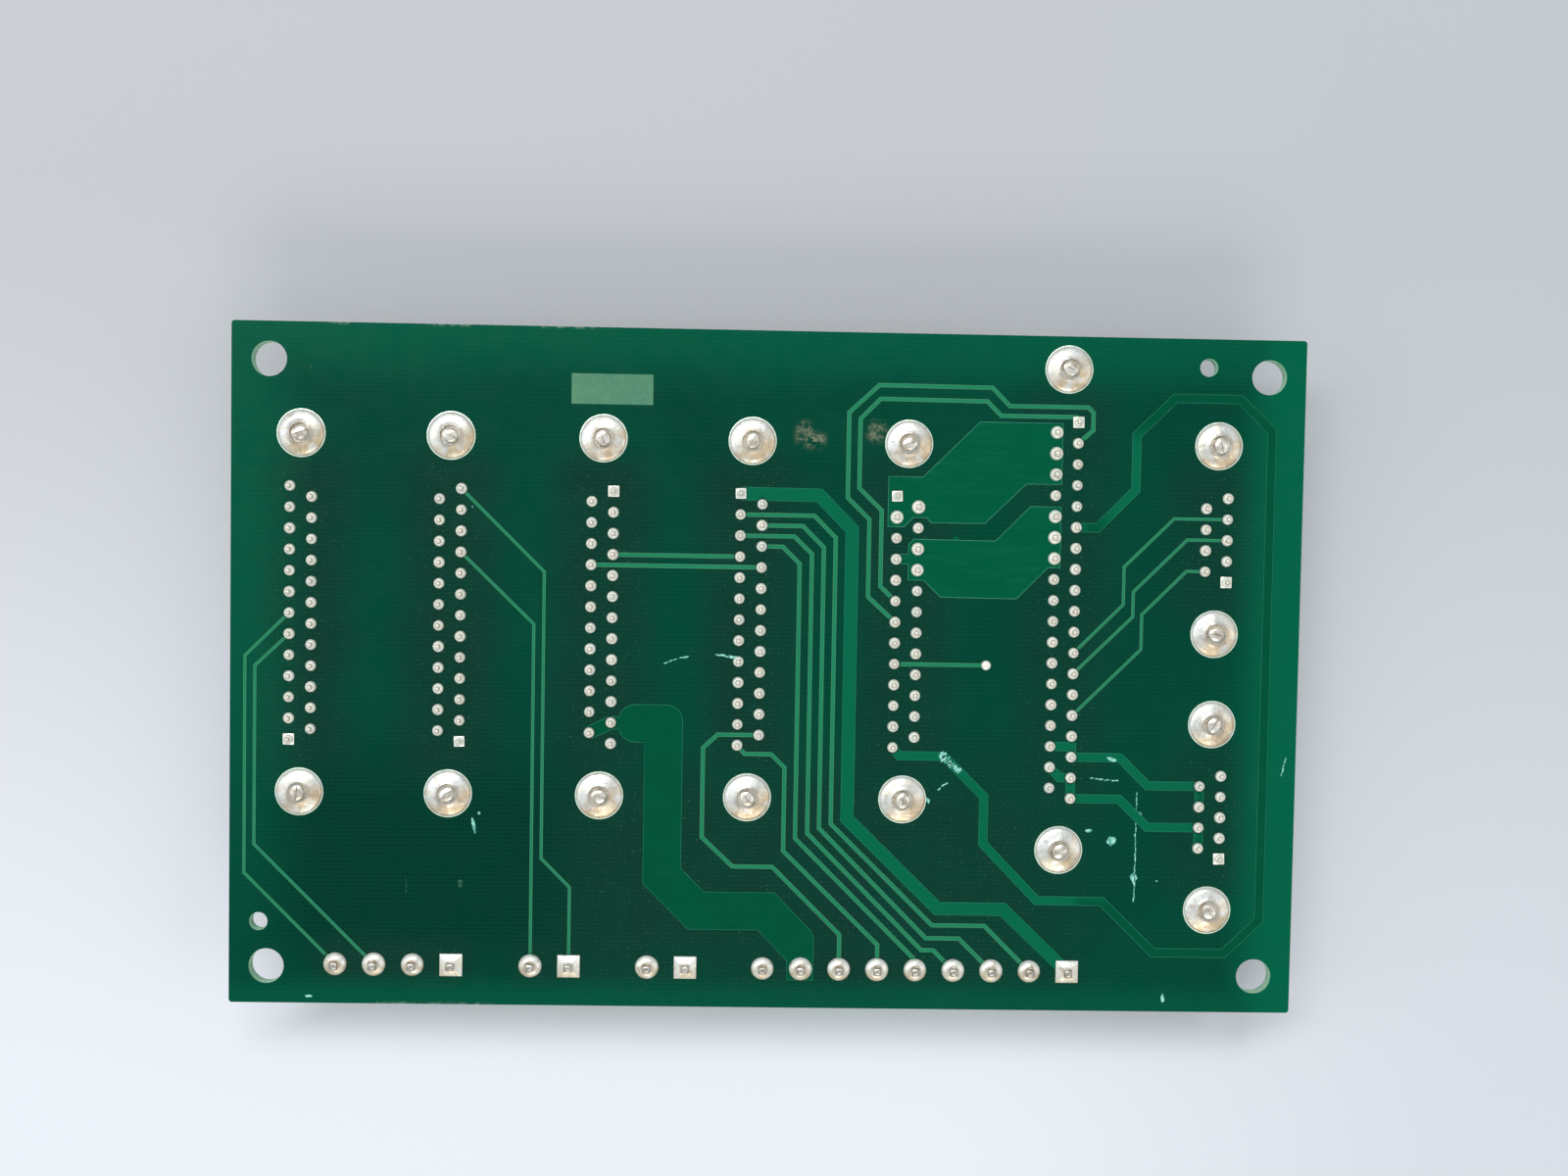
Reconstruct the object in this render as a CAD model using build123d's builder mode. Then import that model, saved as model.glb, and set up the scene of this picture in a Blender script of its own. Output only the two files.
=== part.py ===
from build123d import *
import os
from dataclasses import dataclass
from math import radians, tan

os.makedirs("parts", exist_ok=True)

# A connector board that lies solder side up and stands on the mating ends of its connectors.
# Z is up, and the origin is under the middle of the board, on the surface that it stands on.
# X runs along the board's long side. Sizes are in millimetres and angles in degrees.

# Board
board_length = 141.0
board_width = 89.6
board_thickness = 1.6
board_corner = 0.4
mount_hole_diameter = 4.6
mount_hole_inset = 4.9
tooling_hole_diameter = 2.4
upper_tooling_hole_side_inset = 12.95
upper_tooling_hole_top_inset = 3.75
lower_tooling_hole_side_inset = 3.85
lower_tooling_hole_bottom_inset = 10.8

# D connectors: contacts in two staggered rows, a drawn steel shell and two screwlocks
contact_pitch = 2.77
row_spacing = 2.84
shell_depth = 6.0
shell_sheet = 0.5
rear_height = 6.0
skirt_angle = 10.0
plug_inner_width = 8.36
plug_inner_end_margin = 5.72
plug_corner = 1.5
socket_outer_width = 7.9
socket_outer_end_margin = 5.14
socket_corner = 1.4
flange_width = 12.5
flange_end_margin = 3.0
flange_corner = 1.2
fit_clearance = 0.05

# Insulators and contacts of the D connectors
plug_floor_height = 1.0
socket_face_recess = 0.2
insulator_flange_width = 11.0
insulator_flange_height = 1.2
insulator_flange_gap = 0.6
rear_block_width = 7.6
rear_block_end_margin = 5.4
contact_pin_side = 0.95
contact_pin_recess = 0.7
socket_hole_side = 1.2
socket_hole_depth = 4.6
socket_contact_height = 1.6

# Screwlocks, each turned from one hexagonal bar and split at its soldered tail
screw_margin = 13.8
screwlock_head_across_flats = 4.75
screwlock_head_height = 5.0
screwlock_thread_bore = 2.6
screwlock_thread_depth = 4.2
screwlock_shank = 3.0
screwlock_standoff = 5.0
screwlock_tail = 2.9
screwlock_tail_rise = 1.35
screwlock_slot = 0.5
screwlock_hole_clearance = 0.2
first_slot_angle = 20.0
slot_angle_step = 67.0

# Pluggable terminal headers along the lower edge
terminal_pitch = 5.08
header_row_inset = 5.25
header_depth = 8.6
header_end_margin = 7.1
header_wall = 0.9
header_lift = 0.5
header_cavity_depth = 8.6
latch_notch_width = 1.6
latch_notch_height = 2.2
terminal_pin_side = 1.0
terminal_pin_recess = 1.6
terminal_tail_rise = 1.3
terminal_hole = 1.5

# Copper and solder
copper_thickness = 0.07
fine_track = 0.35
signal_track = 0.5
supply_track = 1.15
heavy_track = 1.7
bus_track = 5.0
contact_pad = 1.6
area_pad = 1.9
contact_solder_height = 1.1
terminal_pad = 3.1
terminal_solder_height = 0.8
terminal_solder_slope = 40.0
lock_pad = 6.4
lock_solder_slope = 52.0
lock_solder_height = 0.95
via_pad = 1.3
via_offset = 12.2
via_solder_height = 0.4
marking_field_length = 10.7
marking_field_width = 4.0
marking_field_side_inset = 49.55
marking_field_top_inset = 8.05
joint_sides = 6
dome_sides = 10
bar_sides = 6

# Where the connectors stand
first_column_inset = 9.1
last_column_inset = 11.4
column_count = 7
second_column_shift = -0.6
third_column_shift = -0.8
fourth_column_shift = -1.35
fifth_column_shift = -0.85
main_row_top_inset = 14.48
tall_connector_top_inset = 4.35
small_connector_top_inset = 14.06
small_connector_spacing = 36.9

left_edge = -board_length / 2
right_edge = board_length / 2
top_edge = board_width / 2
bottom_edge = -board_width / 2
flange_back = shell_depth + shell_sheet
board_bottom = flange_back + rear_height
board_top = board_bottom + board_thickness
column_step = (board_length - first_column_inset - last_column_inset) / (column_count - 1)
main_row_y = top_edge - main_row_top_inset
small_row_y = top_edge - small_connector_top_inset
header_y = bottom_edge + header_row_inset

LEFT = -1
RIGHT = 1


def column(index, shift=0.0):
    """The x of a connector column, counted from the left."""
    return left_edge + first_column_inset + index * column_step + shift


@dataclass
class Connector:
    """A D connector that stands along Y, known by its upper screwlock and its longer row."""

    name: str
    x: float
    top_screw_y: float
    long_row: int
    long_side: int
    pin_one_at_top: bool
    is_socket: bool

    @property
    def row_length(self):
        return (self.long_row - 1) * contact_pitch

    @property
    def screw_spacing(self):
        return self.row_length + screw_margin

    @property
    def y(self):
        return self.top_screw_y - self.screw_spacing / 2

    def contact(self, side, index):
        """Centre of a contact, counted down the row on that side."""
        count = self.long_row if side == self.long_side else self.long_row - 1
        from_middle = (count - 1) / 2 - index
        return (self.x + side * row_spacing / 2, self.y + from_middle * contact_pitch)

    @property
    def pin_one(self):
        return self.contact(self.long_side, 0 if self.pin_one_at_top else self.long_row - 1)

    @property
    def contacts(self):
        long_places = [self.contact(self.long_side, i) for i in range(self.long_row)]
        short_places = [self.contact(-self.long_side, i) for i in range(self.long_row - 1)]
        return long_places + short_places

    @property
    def screws(self):
        return [(self.x, self.top_screw_y), (self.x, self.top_screw_y - self.screw_spacing)]

    def near(self, across, along):
        """A corner of the copper, given from the middle of the connector."""
        return (self.x + across, self.y + along)


j1 = Connector("j1", column(0), main_row_y, 13, LEFT, False, True)
j2 = Connector("j2", column(1, second_column_shift), main_row_y, 13, RIGHT, False, False)
j3 = Connector("j3", column(2, third_column_shift), main_row_y, 13, RIGHT, True, True)
j4 = Connector("j4", column(3, fourth_column_shift), main_row_y, 13, LEFT, True, False)
j5 = Connector("j5", column(4, fifth_column_shift), main_row_y, 13, LEFT, True, False)
j6 = Connector("j6", column(5), top_edge - tall_connector_top_inset, 19, RIGHT, True, True)
j7 = Connector("j7", column(6), small_row_y, 5, RIGHT, False, False)
j8 = Connector("j8", column(6), small_row_y - small_connector_spacing, 5, RIGHT, False, False)
connectors = [j1, j2, j3, j4, j5, j6, j7, j8]


@dataclass
class Header:
    """A terminal header that stands along X, with pin one at its right-hand end."""

    name: str
    first_x: float
    ways: int

    def pin(self, index):
        return (self.first_x + index * terminal_pitch, header_y)

    @property
    def pins(self):
        return [self.pin(i) for i in range(self.ways)]

    @property
    def middle(self):
        return self.first_x + (self.ways - 1) * terminal_pitch / 2

    @property
    def length(self):
        return (self.ways - 1) * terminal_pitch + header_end_margin

    def near(self, index, across, along):
        """A corner of the copper, given from one of the header's pins."""
        return (self.pin(index)[0] + across, header_y + along)


header_a = Header("header_a", j1.x + 4.85, 4)
header_b = Header("header_b", j2.x + 11.05, 2)
header_c = Header("header_c", j3.x + 6.6, 2)
header_d = Header("header_d", j4.x + 2.4, 9)
headers = [header_a, header_b, header_c, header_d]

pin_one_places = [c.pin_one for c in connectors]
area_places = (
    [j5.contact(LEFT, 1)]
    + [j5.contact(RIGHT, i) for i in (0, 2, 3)]
    + [j6.contact(LEFT, i) for i in (0, 1, 2, 4, 5, 6)]
)
contact_places = [
    place
    for c in connectors
    for place in c.contacts
    if place not in pin_one_places and place not in area_places
]
screw_places = [place for c in connectors for place in c.screws]
round_terminals = [place for h in headers for place in h.pins[:-1]]
square_terminals = [h.pins[-1] for h in headers]
terminal_places = round_terminals + square_terminals
via_place = (j5.contact(LEFT, 8)[0] + via_offset, j5.contact(LEFT, 8)[1])
mount_holes = [
    (side * (right_edge - mount_hole_inset), end * (top_edge - mount_hole_inset))
    for side in (-1, 1)
    for end in (-1, 1)
]
tooling_holes = [
    (right_edge - upper_tooling_hole_side_inset, top_edge - upper_tooling_hole_top_inset),
    (left_edge + lower_tooling_hole_side_inset, bottom_edge + lower_tooling_hole_bottom_inset),
]


def flats(across_flats, sides, mode=Mode.ADD):
    """A polygon sized across its flats, for a small round feature that repeats."""
    return RegularPolygon(
        across_flats / 2, sides, major_radius=False, rotation=180 / sides, mode=mode
    )


def save(part, name):
    part.label = name
    export_step(part, f"parts/{name}.step")


# Board: one panel of glass laminate, drilled for its mounts, screwlocks and header pins
with BuildPart() as board:
    with BuildSketch(Plane.XY.offset(board_bottom)) as panel:
        Rectangle(board_length, board_width)
        chamfer(panel.vertices(), board_corner)
        with Locations(*mount_holes):
            Circle(mount_hole_diameter / 2, mode=Mode.SUBTRACT)
        with Locations(*tooling_holes):
            Circle(tooling_hole_diameter / 2, mode=Mode.SUBTRACT)
        with Locations(*screw_places):
            flats(screwlock_tail + screwlock_hole_clearance, bar_sides, mode=Mode.SUBTRACT)
        with Locations(*terminal_places):
            flats(terminal_hole, bar_sides, mode=Mode.SUBTRACT)
    extrude(amount=board_thickness)
save(board.part, "board")


# Copper: tracks and areas on the solder side. Tracks stop at the solder on their pads, and
# the areas run on under theirs
def track(points, width):
    with BuildSketch() as strip:
        with BuildLine():
            Polyline(*points)
        trace(line_width=width)
    return strip.sketch


def area(corners):
    with BuildSketch() as outline:
        with BuildLine():
            Polyline(*corners, close=True)
        make_face()
    return outline.sketch


def clear_pads():
    """Takes the footprints of the solder at the tracks' ends out of the copper being drawn."""
    with Locations(*contact_places):
        flats(contact_pad, joint_sides, mode=Mode.SUBTRACT)
    with Locations(*pin_one_places):
        Rectangle(contact_pad, contact_pad, mode=Mode.SUBTRACT)
    with Locations(*round_terminals):
        flats(terminal_pad, joint_sides, mode=Mode.SUBTRACT)
    with Locations(*square_terminals):
        Rectangle(terminal_pad, terminal_pad, mode=Mode.SUBTRACT)
    with Locations(via_place):
        flats(via_pad, joint_sides, mode=Mode.SUBTRACT)


def copper(shapes, name):
    with BuildPart() as layer:
        with BuildSketch(Plane.XY.offset(board_top)):
            for shape in shapes:
                add(shape)
            clear_pads()
        extrude(amount=copper_thickness)
    save(layer.part, name)


fine_paths = [
    [j1.contact(LEFT, 6), j1.near(-7.15, -5.7), header_a.near(0, -12.0, 12.0), header_a.pin(0)],
    [j1.contact(LEFT, 7), j1.near(-5.85, -7.0), header_a.near(1, -15.8, 15.8), header_a.pin(1)],
    [
        j2.contact(RIGHT, 0),
        j2.near(12.35, 5.9),
        header_b.near(0, 1.3, 14.35),
        header_b.near(1, 0, 10.55),
        header_b.pin(1),
    ],
    [j2.contact(RIGHT, 3), header_b.near(0, 0, 45.35), header_b.pin(0)],
    [
        j7.contact(RIGHT, 1),
        j7.near(-5.7, 2.77),
        j7.near(-12.2, -3.7),
        j7.near(-12.2, -8.7),
        j6.contact(RIGHT, 11),
    ],
    [
        j7.contact(RIGHT, 2),
        j7.near(-3.9, 0),
        j7.near(-10.9, -7.0),
        j7.near(-10.9, -10.3),
        j6.contact(RIGHT, 12),
    ],
    [
        j7.contact(LEFT, 3),
        j7.near(-3.9, -4.15),
        j7.near(-9.7, -10.0),
        j7.near(-9.7, -14.6),
        j6.contact(RIGHT, 14),
    ],
]
signal_paths = [
    [j3.contact(RIGHT, 3), j4.contact(LEFT, 3)],
    [j3.contact(LEFT, 3), j4.contact(RIGHT, 3)],
    [
        j4.contact(LEFT, 1),
        j4.near(8.3, 13.85),
        j4.near(11.15, 11.0),
        j4.near(11.15, -26.9),
        header_d.near(7, -13.1, 6.05),
        header_d.near(7, -6.1, 6.05),
        header_d.pin(7),
    ],
    [
        j4.contact(RIGHT, 1),
        j4.near(6.8, 12.47),
        j4.near(9.6, 9.7),
        j4.near(9.6, -27.5),
        header_d.near(6, -8.8, 4.3),
        header_d.near(6, -4.4, 4.3),
        header_d.pin(6),
    ],
    [
        j4.contact(LEFT, 2),
        j4.near(5.7, 11.08),
        j4.near(8.05, 8.8),
        j4.near(8.05, -28.2),
        header_d.near(5, -4.3, 2.7),
        header_d.near(5, -2.7, 2.7),
        header_d.pin(5),
    ],
    [
        j4.contact(RIGHT, 2),
        j4.near(4.2, 9.7),
        j4.near(6.45, 7.5),
        j4.near(6.45, -28.9),
        header_d.near(4, 0, 1.35),
        header_d.pin(4),
    ],
    [
        j4.contact(RIGHT, 11),
        j4.near(-4.0, -15.24),
        j4.near(-5.9, -17.0),
        j4.near(-5.9, -28.9),
        j4.near(-1.8, -32.75),
        j4.near(3.5, -32.75),
        header_d.near(2, 0, 4.65),
        header_d.pin(2),
    ],
    [
        j4.contact(LEFT, 12),
        j4.near(-0.4, -17.75),
        j4.near(3.1, -17.75),
        j4.near(4.9, -19.5),
        j4.near(4.9, -30.6),
        header_d.near(3, 0, 3.35),
        header_d.pin(3),
    ],
    [
        j5.contact(LEFT, 5),
        j5.near(-3.45, 4.7),
        j5.near(-3.45, 14.7),
        j5.near(-6.45, 17.6),
        j5.near(-6.45, 26.7),
        j5.near(-3.85, 29.35),
        j6.near(-10.7, 27.45),
        j6.near(-8.85, 25.6),
        j6.near(1.42, 25.6),
    ],
    [
        j5.contact(LEFT, 6),
        j5.near(-5.05, 3.3),
        j5.near(-5.05, 13.5),
        j5.near(-7.95, 16.3),
        j5.near(-7.95, 27.5),
        j5.near(-4.05, 31.15),
        j6.near(-10.05, 29.25),
        j6.near(-7.75, 26.9),
        j6.near(2.65, 26.9),
        j6.near(3.35, 26.2),
        j6.near(3.35, 23.9),
        j6.contact(RIGHT, 1),
    ],
    [j5.contact(LEFT, 8), via_place],
]
copper(
    [track(path, fine_track) for path in fine_paths]
    + [track(path, signal_track) for path in signal_paths],
    "signal_tracks",
)

supply_paths = [
    [
        j5.contact(LEFT, 12),
        j5.near(-0.5, -17.7),
        j5.near(5.45, -17.7),
        j5.near(10.85, -23.0),
        j5.near(10.85, -29.3),
        j6.near(-2.75, -38.65),
        j6.near(5.95, -38.65),
        j8.near(-7.1, -18.25),
        j8.near(2.4, -18.25),
        j8.near(7.0, -13.7),
        j7.near(7.0, 14.5),
        j7.near(2.7, 18.65),
        j7.near(-5.9, 18.65),
        j7.near(-10.9, 13.7),
        j7.near(-10.9, 6.5),
        j6.near(4.25, 11.08),
        j6.contact(RIGHT, 5),
    ],
    [j6.contact(LEFT, 15), j6.near(1.42, -18.0), j6.contact(RIGHT, 16)],
    [j6.contact(RIGHT, 16), j6.near(7.95, -19.4), j8.near(-8.4, 4.15), j8.contact(LEFT, 0)],
    [j8.contact(LEFT, 0), j8.contact(LEFT, 1)],
    [j6.contact(LEFT, 16), j6.near(-0.05, -22.15), j6.contact(RIGHT, 17)],
    [j6.contact(RIGHT, 17), j6.contact(RIGHT, 18)],
    [j6.contact(RIGHT, 18), j6.near(7.95, -24.93), j8.near(-8.3, -1.4), j8.contact(LEFT, 2)],
    [j8.contact(LEFT, 2), j8.contact(LEFT, 3)],
]
heavy_paths = [
    [
        j4.contact(LEFT, 0),
        j4.near(8.9, 16.55),
        j4.near(13.3, 12.15),
        j4.near(13.3, -26.2),
        header_d.near(8, -17.5, 8.3),
        header_d.near(8, -8.8, 8.3),
        header_d.pin(8),
    ],
    [j3.contact(LEFT, 11), j3.contact(RIGHT, 11), j3.near(3.4, -13.9)],
]
bus_path = [
    j3.near(2.6, -13.9),
    j3.near(8.4, -13.9),
    j3.near(8.4, -34.1),
    header_d.near(0, -8.9, 7.65),
    header_d.near(0, 0.4, 7.65),
    header_d.near(1, -0.1, 2.9),
    header_d.near(1, -0.1, -1.5),
]
copper(
    [track(path, supply_track) for path in supply_paths]
    + [track(path, heavy_track) for path in heavy_paths]
    + [track(bus_path, bus_track)],
    "power_tracks",
)

upper_area = [
    j5.near(-2.6, 19.2),
    j5.near(1.95, 19.2),
    j6.near(-11.6, 24.75),
    j6.near(-0.2, 24.75),
    j6.near(-0.2, 16.7),
    j6.near(-5.35, 16.7),
    j5.near(10.2, 13.2),
    j5.near(3.1, 13.2),
    j5.near(2.5, 13.85),
    j5.near(0.75, 13.85),
    j5.near(-0.5, 12.6),
    j5.near(-2.6, 12.6),
]
lower_area = [
    j5.near(0.9, 11.0),
    j6.near(-9.25, 9.1),
    j6.near(-4.7, 13.75),
    j6.near(-0.2, 13.75),
    j6.near(-0.2, 5.7),
    j6.near(-2.25, 5.7),
    j6.near(-6.35, 1.5),
    j5.near(4.55, 3.4),
    j5.near(2.25, 5.6),
    j5.near(0.2, 5.6),
    j5.near(0.2, 7.7),
    j5.near(-1.4, 7.7),
    j5.near(-1.4, 9.0),
    j5.near(0.2, 9.0),
    j5.near(0.2, 10.3),
]
copper([area(upper_area), area(lower_area)], "copper_areas")

field_x = left_edge + marking_field_side_inset
field_y = top_edge - marking_field_top_inset
with BuildPart() as marking_field:
    with BuildSketch(Plane((field_x, field_y, board_top))):
        Rectangle(marking_field_length, marking_field_width)
    extrude(amount=copper_thickness)
save(marking_field.part, "marking_field")


# Solder: a pointed joint on each contact, a collar round each header pin, a dome on each screwlock
def contact_joint(is_square, width):
    """A solder joint that rises from its pad to a point over the contact in it."""
    with BuildPart() as joint:
        with BuildSketch() as pad:
            if is_square:
                Rectangle(width, width)
            else:
                flats(width, joint_sides)
        loft([pad.sketch.face(), Vertex(0, 0, contact_solder_height)], ruled=True)
    return joint.part


round_joint = contact_joint(False, contact_pad)
wide_joint = contact_joint(False, area_pad)
square_joint = contact_joint(True, contact_pad)


def joint_at(place):
    if place in pin_one_places:
        return square_joint
    return wide_joint if place in area_places else round_joint


for c in connectors:
    with BuildPart() as solder:
        for place in c.contacts:
            pad_top = board_top + (copper_thickness if place in area_places else 0)
            with Locations((*place, pad_top)):
                add(joint_at(place))
    save(solder.part, f"{c.name}_solder")

with BuildPart() as via:
    with BuildSketch(Plane((*via_place, board_top))):
        flats(via_pad, joint_sides)
    extrude(amount=via_solder_height, taper=terminal_solder_slope)
save(via.part, "via")

with BuildPart() as terminal_solder:
    with BuildSketch(Plane.XY.offset(board_top)):
        with Locations(*round_terminals):
            flats(terminal_pad, joint_sides)
        with Locations(*square_terminals):
            Rectangle(terminal_pad, terminal_pad)
    extrude(amount=terminal_solder_height, taper=terminal_solder_slope)
    with BuildSketch(Plane.XY.offset(board_top)):
        with Locations(*terminal_places):
            Rectangle(terminal_pin_side, terminal_pin_side)
    extrude(amount=terminal_solder_height, mode=Mode.SUBTRACT)
save(terminal_solder.part, "terminal_solder")

with BuildPart() as screwlock_solder:
    with BuildSketch(Plane.XY.offset(board_top)):
        with Locations(*screw_places):
            flats(lock_pad, dome_sides)
    extrude(amount=lock_solder_height, taper=lock_solder_slope)
    with BuildSketch(Plane.XY.offset(board_top)):
        with Locations(*screw_places):
            flats(screwlock_tail, bar_sides)
    extrude(amount=lock_solder_height, mode=Mode.SUBTRACT)
save(screwlock_solder.part, "screwlock_solder")


# D connectors
def d_outline(length, width, corner, long_side):
    """The outline of a D: its long edge on long_side, and ends drawn in by the skirt's angle."""
    draw_in = width * tan(radians(skirt_angle))
    wide_x = long_side * width / 2
    with BuildSketch() as outline:
        with BuildLine():
            Polyline(
                (wide_x, length / 2),
                (wide_x, -length / 2),
                (-wide_x, -length / 2 + draw_in),
                (-wide_x, length / 2 - draw_in),
                close=True,
            )
        make_face()
        chamfer(outline.vertices(), corner)
    return outline.sketch


def skirt(c, outwards):
    """A connector's D, set outwards by a distance from the inside of its skirt."""
    if c.is_socket:
        length = c.row_length + socket_outer_end_margin
        sized = d_outline(length, socket_outer_width, socket_corner, c.long_side)
        step = outwards - shell_sheet
    else:
        length = c.row_length + plug_inner_end_margin
        sized = d_outline(length, plug_inner_width, plug_corner, c.long_side)
        step = outwards
    with BuildSketch() as outline:
        add(sized)
        if step:
            offset(amount=step, kind=Kind.INTERSECTION)
    return outline.sketch


def shell(c):
    """Drawn steel: a flange with two holes, and the D-shaped skirt that guides the mating half."""
    with BuildPart() as shell_part:
        with BuildSketch(Plane((c.x, c.y, shell_depth))) as flange:
            Rectangle(flange_width, c.screw_spacing + 2 * flange_end_margin)
            chamfer(flange.vertices(), flange_corner)
            add(skirt(c, 0), mode=Mode.SUBTRACT)
            with Locations((0, c.screw_spacing / 2), (0, -c.screw_spacing / 2)):
                Rectangle(screwlock_shank, screwlock_shank, mode=Mode.SUBTRACT)
        extrude(amount=shell_sheet)
        with BuildSketch(Plane((c.x, c.y, 0))):
            add(skirt(c, shell_sheet))
            add(skirt(c, 0), mode=Mode.SUBTRACT)
        extrude(amount=shell_depth)
    save(shell_part.part, f"{c.name}_shell")


def insulator(c):
    """Moulded body: a nose inside the skirt, a flange behind the shell, and a block to the board."""
    nose_bottom = socket_face_recess if c.is_socket else shell_depth - plug_floor_height
    flange_top = flange_back + insulator_flange_height
    flange_length = c.screw_spacing - screwlock_standoff - 2 * insulator_flange_gap
    with BuildPart() as body:
        with BuildSketch(Plane((c.x, c.y, nose_bottom))):
            add(skirt(c, -fit_clearance))
        extrude(amount=flange_back - nose_bottom)
        with BuildSketch(Plane((c.x, c.y, flange_back))):
            Rectangle(insulator_flange_width, flange_length)
        extrude(amount=insulator_flange_height)
        with BuildSketch(Plane((c.x, c.y, flange_top))):
            Rectangle(rear_block_width, c.row_length + rear_block_end_margin)
        extrude(amount=board_bottom - flange_top)
        if c.is_socket:
            with BuildSketch(Plane.XY.offset(nose_bottom)):
                with Locations(*c.contacts):
                    Rectangle(socket_hole_side, socket_hole_side)
            extrude(amount=socket_hole_depth, mode=Mode.SUBTRACT)
    save(body.part, f"{c.name}_insulator")


def contacts(c):
    """Pins that stand on a plug's floor, or the contacts at the bottom of a socket's holes."""
    if c.is_socket:
        side = socket_hole_side
        top = socket_face_recess + socket_hole_depth
        bottom = top - socket_contact_height
    else:
        side = contact_pin_side
        top = shell_depth - plug_floor_height
        bottom = contact_pin_recess
    with BuildPart() as group:
        with BuildSketch(Plane.XY.offset(bottom)):
            with Locations(*c.contacts):
                Rectangle(side, side)
        extrude(amount=top - bottom)
    save(group.part, f"{c.name}_contacts")


def screwlock(slot_angle):
    """Hexagonal head with a threaded bore, shank, standoff, and a tail split by a slot."""
    with BuildPart() as lock:
        with BuildSketch(Plane.XY.offset(shell_depth - screwlock_head_height)):
            flats(screwlock_head_across_flats, bar_sides)
        extrude(amount=screwlock_head_height)
        with BuildSketch(Plane.XY.offset(shell_depth)):
            Rectangle(screwlock_shank, screwlock_shank)
        extrude(amount=shell_sheet)
        with BuildSketch(Plane.XY.offset(flange_back)):
            flats(screwlock_standoff, bar_sides)
        extrude(amount=rear_height)
        with BuildSketch(Plane.XY.offset(board_bottom)):
            flats(screwlock_tail, bar_sides)
        extrude(amount=board_thickness + screwlock_tail_rise)
        with BuildSketch(Plane.XY.offset(shell_depth - screwlock_head_height)):
            flats(screwlock_thread_bore, bar_sides)
        extrude(amount=screwlock_thread_depth, mode=Mode.SUBTRACT)
        with BuildSketch(Plane.XY.offset(board_bottom)):
            Rectangle(2 * screwlock_tail, screwlock_slot, rotation=slot_angle)
        extrude(amount=board_thickness + screwlock_tail_rise, mode=Mode.SUBTRACT)
    return lock.part


slot_angle = first_slot_angle
for c in connectors:
    shell(c)
    insulator(c)
    contacts(c)
    with BuildPart() as screwlocks:
        for place in c.screws:
            with Locations(place):
                add(screwlock(slot_angle))
            slot_angle += slot_angle_step
    save(screwlocks.part, f"{c.name}_screwlocks")


# Terminal headers: a housing open towards the mating end, with a notch at each way, and its pins
def header_housing(h):
    inner_length = h.length - 2 * header_wall
    inner_depth = header_depth - 2 * header_wall
    wall_y = header_y - header_depth / 2 + header_wall / 2
    with BuildPart() as housing:
        with BuildSketch(Plane((h.middle, header_y, header_lift))):
            Rectangle(h.length, header_depth)
        extrude(amount=board_bottom - header_lift)
        with BuildSketch(Plane((h.middle, header_y, header_lift))):
            Rectangle(inner_length, inner_depth)
        extrude(amount=header_cavity_depth, mode=Mode.SUBTRACT)
        with BuildSketch(Plane.XY.offset(header_lift)):
            with Locations(*[(x, wall_y) for x, y in h.pins]):
                Rectangle(latch_notch_width, header_wall)
        extrude(amount=latch_notch_height, mode=Mode.SUBTRACT)
        with BuildSketch(Plane.XY.offset(header_lift)):
            with Locations(*h.pins):
                Rectangle(terminal_pin_side, terminal_pin_side)
        extrude(amount=board_bottom - header_lift, mode=Mode.SUBTRACT)
    save(housing.part, f"{h.name}_housing")


def header_pins(h):
    bottom = header_lift + terminal_pin_recess
    with BuildPart() as pins:
        with BuildSketch(Plane.XY.offset(bottom)):
            with Locations(*h.pins):
                Rectangle(terminal_pin_side, terminal_pin_side)
        extrude(amount=board_top + terminal_tail_rise - bottom)
    save(pins.part, f"{h.name}_pins")


for h in headers:
    header_housing(h)
    header_pins(h)
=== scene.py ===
import math
import random

import bpy
from mathutils import Matrix, Vector


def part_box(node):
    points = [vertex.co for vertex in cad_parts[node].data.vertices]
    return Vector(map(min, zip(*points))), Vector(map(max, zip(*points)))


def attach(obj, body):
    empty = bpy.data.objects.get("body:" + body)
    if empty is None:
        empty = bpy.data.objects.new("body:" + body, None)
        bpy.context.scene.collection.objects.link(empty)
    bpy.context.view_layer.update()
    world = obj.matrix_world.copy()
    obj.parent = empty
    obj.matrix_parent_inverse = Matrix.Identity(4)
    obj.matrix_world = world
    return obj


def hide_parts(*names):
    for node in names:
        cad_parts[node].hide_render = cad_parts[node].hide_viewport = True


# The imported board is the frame. Sizes are in millimetres, and mm turns them to metres. Only the
# floor's size, the lights and the camera's clipping distances are given in metres.
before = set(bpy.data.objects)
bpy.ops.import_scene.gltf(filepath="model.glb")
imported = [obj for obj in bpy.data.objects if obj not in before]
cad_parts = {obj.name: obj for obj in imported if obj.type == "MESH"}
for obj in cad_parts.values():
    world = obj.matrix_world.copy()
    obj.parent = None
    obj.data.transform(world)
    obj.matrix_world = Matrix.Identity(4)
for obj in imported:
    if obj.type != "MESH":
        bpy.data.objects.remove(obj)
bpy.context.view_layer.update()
mm = 0.001


# The board: one panel of woven glass laminate under a glossy green mask on both faces. It is
# routed to size and drilled for its mounts, tooling pins, screwlocks and header pins.
board_low, board_high = (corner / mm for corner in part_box("board"))
board_bottom = board_low.z
board_top = board_high.z
board_corner = 0.4
board_rim = 0.15
mount_holes = [(x, y) for x in (-65.6, 65.6) for y in (-39.9, 39.9)]
mount_hole_diameter = 4.6
tooling_holes = [(57.55, 41.05), (-66.65, -34.0)]
tooling_hole_diameter = 2.4


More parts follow.
